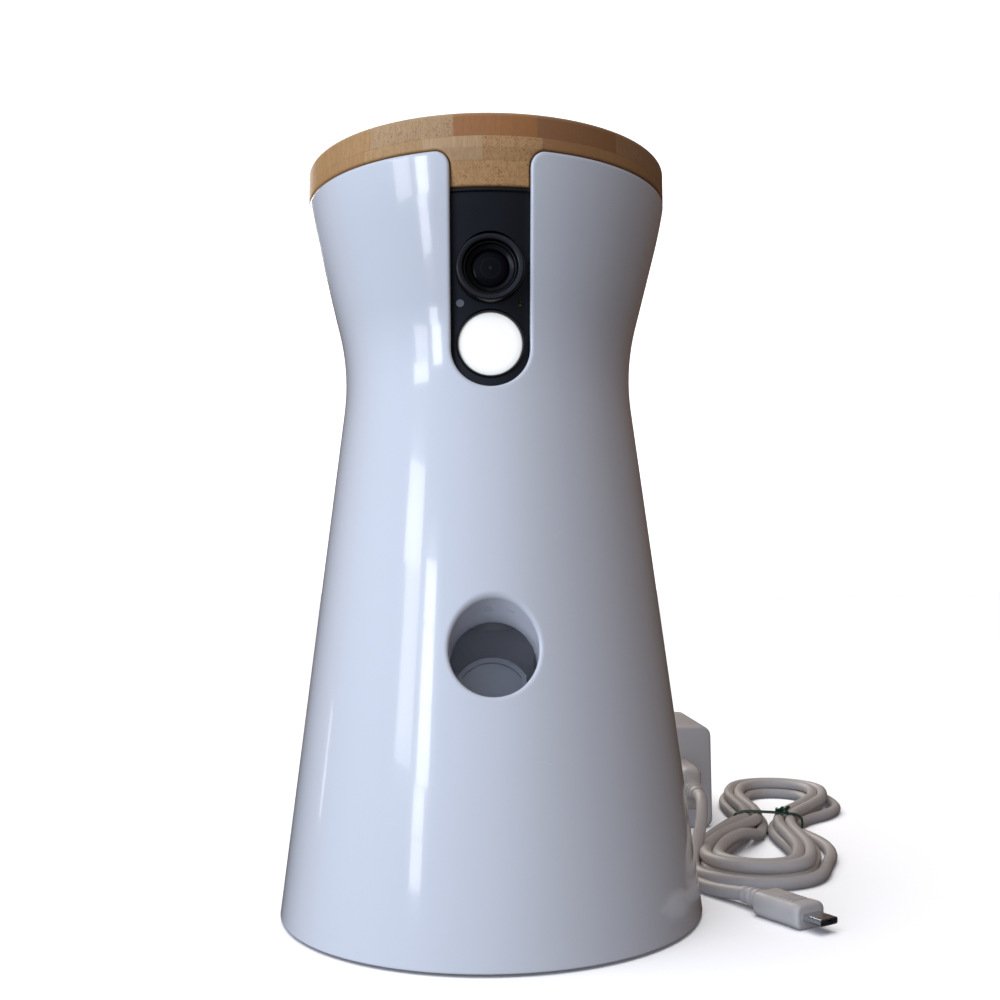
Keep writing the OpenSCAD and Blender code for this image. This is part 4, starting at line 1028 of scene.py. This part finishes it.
def build_shell():
    V, Nn, Fc = [], [], []
    def add(p, n):
        V.append(p)
        Nn.append(n)
        return len(V) - 1
    rim, foot, hole = rim_items(), foot_items(), hole_items()
    backs = [(round_items(0, 10, 14, 10, 2, 0.4), 0.4), (round_items(0, 30, 6.6, 6.6, 3.3, 0.4), 0.4)]
    for q in range(4):
        for k in range(max(1, 6*q)):
            a = rad(k*60/q) if q else 0
            backs.append((round_items(q*4*cos(a), 112 + q*4*sin(a), 2, 2, 1, 0.3, seg=5), 0.3))
    # right and left seams share the same heights
    zs = [1.4 + (RZ - FIL*0.98 - 1.4)*k/72 for k in range(73)]
    outer = [i[0] for i in foot][::-1]      # left to right along the foot, from -3pi/2 to pi/2
    outer += [(SEAM, z) for z in zs[1:-1]]
    outer += [i[0] for i in rim][::-1]
    outer += [(-1.5*pi, z) for z in zs[1:-1]][::-1]
    holes = [[i[0] for i in hole]] + [[i[0] for i in b] for b, _ in backs]
    grid = []
    nz = 76
    for a in range(nz):
        z = 1.4 + (RZ - 2.4)*(a + 0.5)/nz
        for b in range(180):
            grid.append((-1.5*pi + 2*pi*(b + (0.5 if a % 2 else 0.0))/180, z))
    pts, faces = fill(outer, holes, 52.0, 1.15, grid)
    base = [add(at(*p), normal_at(*p)) for p in pts]
    for f in faces:
        Fc.append((base[f[0]], base[f[1]], base[f[2]]))
    # inner face: the same, drawn in by the wall
    edge_sets = []
    rr, ri = strips(rim, FIL, False)
    fr, fi = strips(foot, 0.6, False)
    hr, hi = strips(hole, LIP, True)
    bs = [strips(b, f, True) for b, f in backs]
    def tz(p, back=False):
        t = math.atan2(p.x, -p.y)
        return t
    def unwrap(ps, like):
        out = []
        for p, l in zip(ps, like):
            t = math.atan2(p.x, -p.y)
            while t - l > pi:
                t -= 2*pi
            while t - l < -pi:
                t += 2*pi
            out.append((t, p.z))
        return out
    rim_in = unwrap(ri, [i[1][0] for i in rim])
    foot_in = unwrap(fi, [i[1][0] for i in foot])
    zi = [0.8 + (RZ - 0.8)*k/72 for k in range(73)]
    outer_in = foot_in[::-1] + [(SEAM, z) for z in zi[1:-1]] + rim_in[::-1] + [(-1.5*pi, z) for z in zi[1:-1]][::-1]
    # the tunnel passes the inner face a little wider, to take the tube
    wide = []
    for k in range(len(hole)):
        ph = 2*pi*k/len(hole)
        b0 = TUN_O + TUN_U*(13.4*cos(ph)) + TUN_V*(13.4*sin(ph))
        a, b = -12.0, 24.0
        for _ in range(60):
            m = (a + b)/2
            p = b0 + TUN_D*m
            if math.hypot(p.x, p.y) > R(p.z)[0] - WALL:
                a = m
            else:
                b = m
        wide.append(b0 + TUN_D*a)
    hole_in = unwrap(wide, [i[1][0] for i in hole])
    holes_in = [hole_in] + [unwrap(bi, [i[1][0] for i in b]) for (b, _), (_, bi) in zip(backs, bs)]
    grid2 = []
    for a in range(52):
        z = 0.8 + (RZ - 0.8)*(a + 0.5)/52
        for b in range(120):
            grid2.append((-1.5*pi + 2*pi*(b + (0.5 if a % 2 else 0.0))/120, z))
    pin, fin = fill(outer_in, holes_in, 50.0, 1.4, grid2)
    base_in = [add(at(p[0], p[1], WALL), -normal_at(*p)) for p in pin]
    for f in fin:
        Fc.append((base_in[f[0]], base_in[f[2]], base_in[f[1]]))

    def find(loop_first, loop_len):
        return list(range(loop_first, loop_first + loop_len))
    nf = len(foot)
    rim_outer_idx = [base[nf + 71 + k] for k in range(len(rim))][::-1]
    rim_inner_idx = [base_in[nf + 71 + k] for k in range(len(rim))][::-1]
    foot_outer_idx = [base[k] for k in range(nf)][::-1]
    foot_inner_idx = [base_in[k] for k in range(nf)][::-1]
    k0, k0i = len(outer), len(outer_in)
    hole_outer_idx = [base[k0 + k] for k in range(len(hole))]
    hole_inner_idx = [base_in[k0i + k] for k in range(len(hole))]
    k0 += len(hole)
    k0i += len(hole)
    back_idx = []
    for b, _ in backs:
        back_idx.append(([base[k0 + k] for k in range(len(b))], [base_in[k0i + k] for k in range(len(b))]))
        k0 += len(b)
        k0i += len(b)

    def stitch(first, rings, last, closed, extra=None):
        """first and last are index lists of existing points; rings are new points between."""
        P = [[Vector(V[i]) for i in first]] + [list(r) for r in rings] + [[Vector(V[i]) for i in last]]
        n = len(first)
        idx = [first]
        for j in range(1, len(P) - 1):
            row = []
            for i in range(n):
                a = P[j][(i - 1) % n] if closed or i > 0 else P[j][i]
                b = P[j][(i + 1) % n] if closed or i < n - 1 else P[j][i]
                e1 = b - a
                e2 = P[j + 1][i] - P[j - 1][i]
                nn = e1.cross(e2)
                if nn.length < 1e-9:
                    nn = Vector(Nn[first[i]])
                nn.normalize()
                row.append(add(P[j][i], nn))
            idx.append(row)
        idx.append(last)
        # point the new normals out of the solid: compare the first new ring with the face's own normal
        flip = sum(Vector(Nn[idx[1][i]]).dot(Vector(Nn[first[i]])) for i in range(n)) < 0
        if flip:
            for j in range(1, len(idx) - 1):
                for i in range(n):
                    Nn[idx[j][i]] = -Nn[idx[j][i]]
        m = n if closed else n - 1
        for j in range(len(idx) - 1):
            for i in range(m):
                i2 = (i + 1) % n
                q = (idx[j][i], idx[j][i2], idx[j + 1][i2], idx[j + 1][i])
                Fc.append(q if flip else q[::-1])

    stitch(rim_outer_idx, rr[1:], rim_inner_idx, False)
    stitch(foot_outer_idx, fr[1:], foot_inner_idx, False)
    # tunnel edge: round lip, a step back at 1.2 mm for the tube, then the wall
    lip = hr[1:6]
    stepd = [K + TUN_D*0.05 for K in hr[5]]
    out_ring = []
    for k, q in enumerate(hr[5]):
        ph = 2*pi*k/len(hole)
        ax = TUN_O + TUN_D*((q - TUN_O).dot(TUN_D))
        out_ring.append(ax + TUN_U*(13.4*cos(ph)) + TUN_V*(13.4*sin(ph)) + TUN_D*0.05)
    stitch(hole_outer_idx, lip + [stepd, out_ring], hole_inner_idx, True)
    for (b, f), (rgs, _), (io, ii) in zip(backs, bs, back_idx):
        stitch(io, rgs[1:], ii, True)
    # weld the seam
    m = bpy.data.meshes.new("casing_shell")
    m.from_pydata([tuple(v*MM) for v in V], [], Fc)
    import bmesh
    bm = bmesh.new()
    bm.from_mesh(m)
    ly = bm.verts.layers.float_vector.new("nn")
    bm.verts.ensure_lookup_table()
    for v, nn in zip(bm.verts, Nn):
        v[ly] = nn
    bmesh.ops.remove_doubles(bm, verts=bm.verts, dist=2e-6)
    bmesh.ops.recalc_face_normals(bm, faces=bm.faces)
    bm.to_mesh(m)
    bm.free()
    for p in m.polygons:
        p.use_smooth = True
    at_ = m.attributes["nn"]
    nv = np.zeros(len(m.vertices)*3)
    at_.data.foreach_get("vector", nv)
    nv = nv.reshape(-1, 3)
    m.attributes.remove(at_)
    m.normals_split_custom_set_from_vertices([tuple(x) for x in nv])
    return link("casing_shell", m, MAT["shell_white"]), hr[5]


shell, lip_ring = build_shell()
piece(shell, "base_unit", "shell_white", "outer_shell")

# tunnel tube: starts just behind the lip and follows it
nT = len(lip_ring)
tv, tf = [], []
rings = []
for r, kind in ((HR + 0.02, "lip"), (HR + 0.02, 6), (HR, -0.7), (HR + 0.2, -0.15), (HR + 0.7, -0.01), (HR + 1.2, -0.1), (HR + 1.27, -0.6), (HR + 1.27, 6.0), (HR + 1.27, "lip2")):
    row = []
    for k in range(nT):
        ph = 2*pi*k/nT
        s = (lip_ring[k] - TUN_O).dot(TUN_D)
        if kind in ("lip", "lip2"):
            s = s + 0.12
        elif kind < 0:
            s = 13.75 + 3.25*sin(ph) + kind
        else:
            s = max(s + 1.0, float(kind))
        row.append(len(tv))
        tv.append(TUN_O + TUN_D*s + TUN_U*(r*cos(ph)) + TUN_V*(r*sin(ph)))
    rings.append(row)
for j in range(len(rings)):
    a, b = rings[j], rings[(j + 1) % len(rings)]
    for k in range(nT):
        k2 = (k + 1) % nT
        tf.append((a[k], a[k2], b[k2], b[k]))
tube = make("launch_tunnel", tv, tf, MAT["tunnel_white"])
fix_normals(tube)
tube.data.set_sharp_from_angle(angle=rad(60))
piece(tube, "base_unit", "tunnel_white", "treat_tube")

# ---- wooden lid ---------------------------------------------------------------------------
lid_prof = [(0, 206), (30, 206), (RIM_R - WALL - 2.7, 206), (RIM_R - WALL - 2.35, 206.15), (RIM_R - WALL - 2.15, 206.5),
            (RIM_R - WALL - 0.8, 215.0), (RIM_R - WALL - 0.5, 215.25), (54, 215.3), (55.22, 215.3), (55.4, 215.36), (55.54, 215.5), (55.6, 215.75), (55.6, 216.2),
            (55.6, 223.95), (55.56, 224.25), (55.42, 224.54), (55.2, 224.78), (54.9, 224.93), (54.5, 225.0), (53.4, 225.0), (30, 225.0), (0, 225.0)]
lid = lathe("bamboo_lid", lid_prof, (0, 0, 0), (0, 0, 1), MAT["lid_bamboo"], n=192, closed=False, sharp=60)
piece(lid, "lid", "lid_bamboo", "lid_wood")


# the lid's key fills the top of the slot; its face runs flush into the lid's side
def key_half(z):
    """Half width of the key: straight, then flared round the corners of the slot."""
    z0 = RZ - HORN
    return 10.6 if z <= z0 else 11 + HORN - math.sqrt(max(0.0, (HORN + 0.4)**2 - (z - z0)**2))


def build_key():
    z0, z1 = 205.8, 216.4
    r0 = R(z0)[0] - 1.8
    rows = [(z0, 0.45), (z0 + 0.05, 0.26), (z0 + 0.16, 0.1), (z0 + 0.32, 0.02), (z0 + 0.5, 0.0)]
    rows += [(z0 + 0.5 + (215.32 - z0 - 0.5)*k/26, 0.0) for k in range(1, 27)] + [(215.6, 0.0), (z1, 0.0)]
    V, F = [], []
    for z, ins in rows:
        rr = min(r0 + (55.63 - r0)*(z - z0)/(215.4 - z0), 55.63) - ins
        w = key_half(min(z, 215.32)) - ins
        f = 0.45

        def yf(x):
            return -math.sqrt(rr*rr - x*x)
        left_ = [(-w, -44.0), (-w, yf(w) + f + 1.0)]
        arc_ = []
        for k in range(6):
            a = rad(90*k/5)
            x = -w + f*(1 - cos(a))
            arc_.append((x, yf(abs(x)) + f*(1 - sin(a))))
        mid_ = [(-(w - f) + 2*(w - f)*k/32, None) for k in range(1, 32)]
        front = [(x, yf(abs(x))) for x, _ in mid_]
        half = left_ + arc_
        ring = half + front + [(-x, y) for x, y in half[::-1]]
        V += [(x, y, z) for x, y in ring]
    n = len(V)//len(rows)
    for j in range(len(rows) - 1):
        for k in range(n):
            k2 = (k + 1) % n
            F.append((j*n + k, j*n + k2, (j + 1)*n + k2, (j + 1)*n + k))
    F.append(tuple(range(n - 1, -1, -1)))
    F.append(tuple((len(rows) - 1)*n + k for k in range(n)))
    o = make("bamboo_lid_key", V, F, MAT["lid_bamboo"])
    fix_normals(o)
    o.data.set_sharp_from_angle(angle=rad(45))
    return o


lid_key = build_key()
piece(lid_key, "lid", "lid_bamboo")

# ---- camera strip ---------------------------------------------------------------------------
PD = 3.15


def disc_items(cx, cz, r, n, d):
    return [(th_of(cx + r*cos(2*pi*k/n), cz + r*sin(2*pi*k/n), d=d), cz + r*sin(2*pi*k/n)) for k in range(n)]


def build_panel():
    V, Nn, Fc = [], [], []
    front_idx, back_idx = None, None
    loops2 = []
    w = 14.4
    ol = []
    for k in range(57):
        ol.append((-w, 205.4 - 55.2*k/56))
    for k in range(1, 28):
        ol.append((-w + 2*w*k/28, 150.2))
    for k in range(57):
        ol.append((w, 150.2 + 55.2*k/56))
    for k in range(1, 28):
        ol.append((w - 2*w*k/28, 205.4))
    res = []
    for d, sgn in ((PD, 1), (PD + 2, -1)):
        outer = [(th_of(x, z, d=d), z) for x, z in ol]
        holes = [disc_items(0, 185, 9.62, 72, d), disc_items(0, 164.6, 9.62, 72, d), disc_items(-8.4, 175.7, 1.12, 24, d), disc_items(8.4, 175.7, 0.72, 20, d)]
        grid = [(th_of(-14 + 28*i/24, z, d=d), z) for z in np.linspace(151, 204.6, 48) for i in range(25)]
        pts, faces = fill(outer, holes, 48.0, 0.7, grid)
        k0 = len(V)
        for p in pts:
            V.append(at(p[0], p[1], d))
            Nn.append(normal_at(*p)*sgn)
        for f in faces:
            Fc.append(tuple(k0 + i for i in (f if sgn > 0 else f[::-1])))
        starts, k = [], k0
        for lp in [outer] + holes:
            starts.append((k, len(lp)))
            k += len(lp)
        res.append(starts)
    for (a, n), (b, _) in zip(*res):
        for i in range(n):
            i2 = (i + 1) % n
            p = [V[a + i], V[a + i2], V[b + i2], V[b + i]]
            # walls get their own points, so that their edges stay crisp
            k = len(V)
            V.extend(Vector(q) for q in p)
            nn = (p[1] - p[0]).cross(p[3] - p[0]).normalized()
            Nn.extend([nn]*4)
            Fc.append((k, k + 1, k + 2, k + 3))
    return make("strip_panel", V, Fc, MAT["panel_black"], normals=Nn)


panel = build_panel()
piece(panel, "base_unit", "panel_black", "camera_panel")


# head of the strip: a ledge under the lid's key that closes the pocket behind the strip
def head_ledge():
    r_out = R(205.0)[0] - 2.0
    xs = [-10.9 + 21.8*k/32 for k in range(33)]

    def ring(ins, z):
        r, w = r_out - ins, 1 - ins/10.9
        pts = [(x*w, -math.sqrt(r*r - x*x*w*w)) for x in xs]
        pts += [(10.9 - ins, -47.2 + ins), (14.0 - ins, -47.2 + ins), (14.0 - ins, -36.6 - ins),
                (-14.0 + ins, -36.6 - ins), (-14.0 + ins, -47.2 + ins), (-10.9 + ins, -47.2 + ins)]
        return [(x, y, z) for x, y in pts]

    rows = [(0.1, 204.6), (0.0, 204.7), (0.0, 205.2), (0.06, 205.34), (0.2, 205.4)]
    V, F = [], []
    for ins, z in rows:
        V += ring(ins, z)
    n = len(V)//len(rows)
    for j in range(len(rows) - 1):
        for k in range(n):
            k2 = (k + 1) % n
            F.append((j*n + k, j*n + k2, (j + 1)*n + k2, (j + 1)*n + k))
    F.append(tuple(range(n - 1, -1, -1)))
    F.append(tuple((len(rows) - 1)*n + k for k in range(n)))
    o = make("strip_head_ledge", V, F, MAT["panel_black"])
    fix_normals(o)
    return o


piece(head_ledge(), "base_unit", "panel_black", "camera_panel")


def faced(name, prof, y, z, mat, n=128, x=0.0, sharp=40, closed=True):
    return lathe(name, [(r, h) for r, h in prof], (x, y, z), (0, -1, 0), mat, n=n, sharp=sharp, closed=closed)


LY = -47.6 + 1.75
bezel = faced("lens_rim", [(7.6, 0.6), (7.63, 0.82), (7.72, 1.02), (7.88, 1.17), (8.1, 1.24), (8.5, 1.31), (8.85, 1.37), (9.08, 1.36), (9.3, 1.24), (9.48, 1.02), (9.57, 0.75), (9.6, 0.4), (9.6, -6), (7.6, -6)], LY, 185, MAT["bezel_black"])
piece(bezel, "base_unit", "bezel_black", "lens_bezel")
deep_black = plastic("bezel_black_deep", (0.003, 0.003, 0.004), 0.24, 0.15, 1700, 0.05, spec=0.16)
ring_ = faced("lens_inner_ring", [(5.2, -1.75), (5.26, -1.45), (5.42, -1.22), (5.7, -1.06), (6.5, -0.82), (6.66, -0.68), (6.78, -0.42), (6.9, -0.2), (7.08, -0.08), (7.3, -0.04), (7.48, -0.12), (7.58, -0.35), (7.6, -6), (5.2, -6)], LY, 185, deep_black)
piece(ring_, "base_unit", "bezel_black", "lens_ring")
dome = [(5.18*cos(rad(a)), -1.8 + 1.1*sin(rad(a))) for a in range(0, 91, 6)]
dome[-1] = (0, dome[-1][1])
glass = faced("lens_front_glass", [(0, -6), (5.18, -6)] + dome, LY, 185, MAT["lens_glass"], sharp=60, closed=False)
piece(glass, "base_unit", "lens_glass", "lens_glass")
sb = faced("sensor_rim", [(8.92, -0.35), (9.0, -0.05), (9.15, 0.12), (9.35, 0.14), (9.52, 0.0), (9.58, -0.25), (9.58, -4.5), (8.92, -4.5)], -41.6, 164.6, MAT["bezel_black"])
piece(sb, "base_unit", "bezel_black", "sensor_bezel")
sw = faced("sensor_frosted_window", [(0, -4.5), (8.88, -4.5), (8.9, -0.95), (8.8, -0.75), (8.5, -0.62), (7.1, -0.5), (5.3, -0.41), (3.5, -0.35), (1.8, -0.315), (0, -0.3)], -41.6, 164.6, MAT["window_white"], sharp=60, closed=False)
piece(sw, "base_unit", "window_white", "sensor_window")

# ---- floor and light -----------------------------------------------------------------------------
fm = N("floor_pale")
fn = fm.noise(6, 4)
floor_mat = fm.set(Base_Color=fm.mix(fn, (0.86, 0.86, 0.865), (0.90, 0.90, 0.902)), Roughness=0.8, Normal=fm.bump(fm.noise(400, 3), 0.05, 0.0001))
floor = make("studio_floor", [(9000*cos(2*pi*k/96), 9000*sin(2*pi*k/96), 0) for k in range(96)], [tuple(range(96))], floor_mat)
floor.visible_diffuse = False
floor.visible_glossy = False
# a wide white backdrop all round, seen by the camera only
bm_ = N("backdrop_white")
bfac = bm_.noise(0.4, 2)
backdrop_mat = bm_.set(Base_Color=bm_.mix(bfac, (0.9, 0.9, 0.9), (0.92, 0.92, 0.92)), Roughness=1.0, Emission_Color=(1, 1, 1), Emission_Strength=0.93)
bv, bf = [], []
for zz in (-200.0, 7000.0):
    for k in range(96):
        bv.append((8800*cos(2*pi*k/96), 8800*sin(2*pi*k/96), zz))
for k in range(96):
    bf.append((k, 96 + k, 96 + (k + 1) % 96, (k + 1) % 96))
bf.append(tuple(range(96, 192)))
backdrop = make("studio_backdrop", bv, bf, backdrop_mat)
for flag in ("visible_diffuse", "visible_glossy", "visible_transmission", "visible_volume_scatter", "visible_shadow"):
    setattr(backdrop, flag, False)


def area(name, loc, target, sx, sy, power, color=(1, 1, 1)):
    ld = bpy.data.lights.new(name, "AREA")
    ld.shape = "RECTANGLE"
    ld.size, ld.size_y = sx, sy
    ld.energy = power
    ld.color = color
    o = bpy.data.objects.new(name, ld)
    bpy.context.scene.collection.objects.link(o)
    o.location = loc
    o.rotation_euler = (Vector(target) - Vector(loc)).to_track_quat("-Z", "Y").to_euler()
    return o


def pane(name, az, dist, z0, z1, width, radiance, color=(0.94, 0.97, 1.0)):
    """Upright light at an angle from the front, between two heights."""
    a = rad(az)
    x_, y_ = dist*sin(a), -dist*cos(a)
    return area(name, (x_, y_, (z0 + z1)/2), (0, 0, (z0 + z1)/2), width, z1 - z0, radiance*pi*width*(z1 - z0), color)


pane("window_high", -53.5, 1.1, 0.35, 0.486, 0.24, 5.5)
pane("window_side", -52, 1.1, 0.113, 0.35, 0.20, 3.2)
for k, (za, zb) in enumerate(((0.372, 0.292), (0.289, 0.196), (0.193, 0.102))):
    pane(f"window_mid_{k}", -39.3, 1.1, zb, za, 0.14, 8.0)
for k, (za, zb) in enumerate(((0.099, 0.043), (0.040, -0.015))):
    pane(f"window_low_{k}", -40.8, 1.1, zb, za, 0.12, 6.0)
pane("window_far", -111, 1.1, -0.05, 0.08, 0.035, 2.5)
back = area("back_soft", (-0.35, 1.3, 0.9), (0, 0, 0.1), 0.9, 0.9, 9, (1.0, 0.98, 0.96))
not_floor = bpy.data.collections.new("not_floor")
not_floor.objects.link(floor)
back.light_linking.receiver_collection = not_floor
not_floor.collection_objects[0].light_linking.link_state = "EXCLUDE"
sun_data = bpy.data.lights.new("floor_sun", "SUN")
sun_data.energy = 2.85
sun_data.angle = rad(75)
sun = bpy.data.objects.new("floor_sun", sun_data)
bpy.context.scene.collection.objects.link(sun)
sun.rotation_euler = (rad(8), rad(-14), 0)
only_floor = bpy.data.collections.new("only_floor")
only_floor.objects.link(floor)
sun.light_linking.receiver_collection = only_floor
# what reaches the inside of the tunnel, kept off the casing
deep = area("tunnel_fill", (-0.15, -0.9, 0.18), (0, -0.03, 0.075), 0.35, 0.35, 0.42, (0.94, 0.96, 1.0))
in_tunnel = bpy.data.collections.new("in_tunnel")
for o_ in [tube] + [nodes[k] for k in ("launcher_frame", "paddle", "gear_cover", "treat_chute") if k in nodes]:
    in_tunnel.objects.link(o_)
deep.light_linking.receiver_collection = in_tunnel
deep.visible_glossy = False
area("top_soft", (0.05, 0.05, 1.5), (0, 0, 0.0), 0.9, 0.9, 3.0, (1, 1, 1))
bpy.context.scene.view_settings.view_transform = "Standard"

w = bpy.data.worlds.new("studio")
bpy.context.scene.world = w
w.use_nodes = True
t = w.node_tree
t.nodes.clear()
wo = t.nodes.new("ShaderNodeOutputWorld")
bg = t.nodes.new("ShaderNodeBackground")
t.links.new(bg.outputs[0], wo.inputs[0])
tc = t.nodes.new("ShaderNodeTexCoord")
sx = t.nodes.new("ShaderNodeSeparateXYZ")
t.links.new(tc.outputs["Generated"], sx.inputs[0])
# wide soft light from the front left, cool; the right stays dim and warm; less of it from below
dot = t.nodes.new("ShaderNodeVectorMath")
dot.operation = "DOT_PRODUCT"
t.links.new(tc.outputs["Generated"], dot.inputs[0])
dot.inputs[1].default_value = (-0.7071, -0.7071, 0.0)
my = t.nodes.new("ShaderNodeMapRange")
my.interpolation_type = "SMOOTHSTEP"
t.links.new(dot.outputs["Value"], my.inputs[0])
my.inputs[1].default_value = -0.2
my.inputs[2].default_value = 1.2
mx = t.nodes.new("ShaderNodeValToRGB")
t.links.new(my.outputs[0], mx.inputs[0])
e = mx.color_ramp.elements
while len(e) < 5:
    e.new(0.5)
for k, (pos, c) in enumerate(((0.0, (0.058, 0.039, 0.030)), (0.24, (0.200, 0.172, 0.158)), (0.37, (0.287, 0.268, 0.278)), (0.5, (0.352, 0.388, 0.468)), (1.0, (0.640, 0.762, 1.010)))):
    e[k].position, e[k].color = pos, (*c, 1)
mz = t.nodes.new("ShaderNodeMapRange")
mz.interpolation_type = "SMOOTHSTEP"
t.links.new(sx.outputs[2], mz.inputs[0])
mz.inputs[1].default_value = -0.30
mz.inputs[2].default_value = 0.25
mz.inputs[3].default_value = 0.68
mz.inputs[4].default_value = 1.90
t.links.new(mx.outputs[0], bg.inputs[0])
t.links.new(mz.outputs[0], bg.inputs[1])
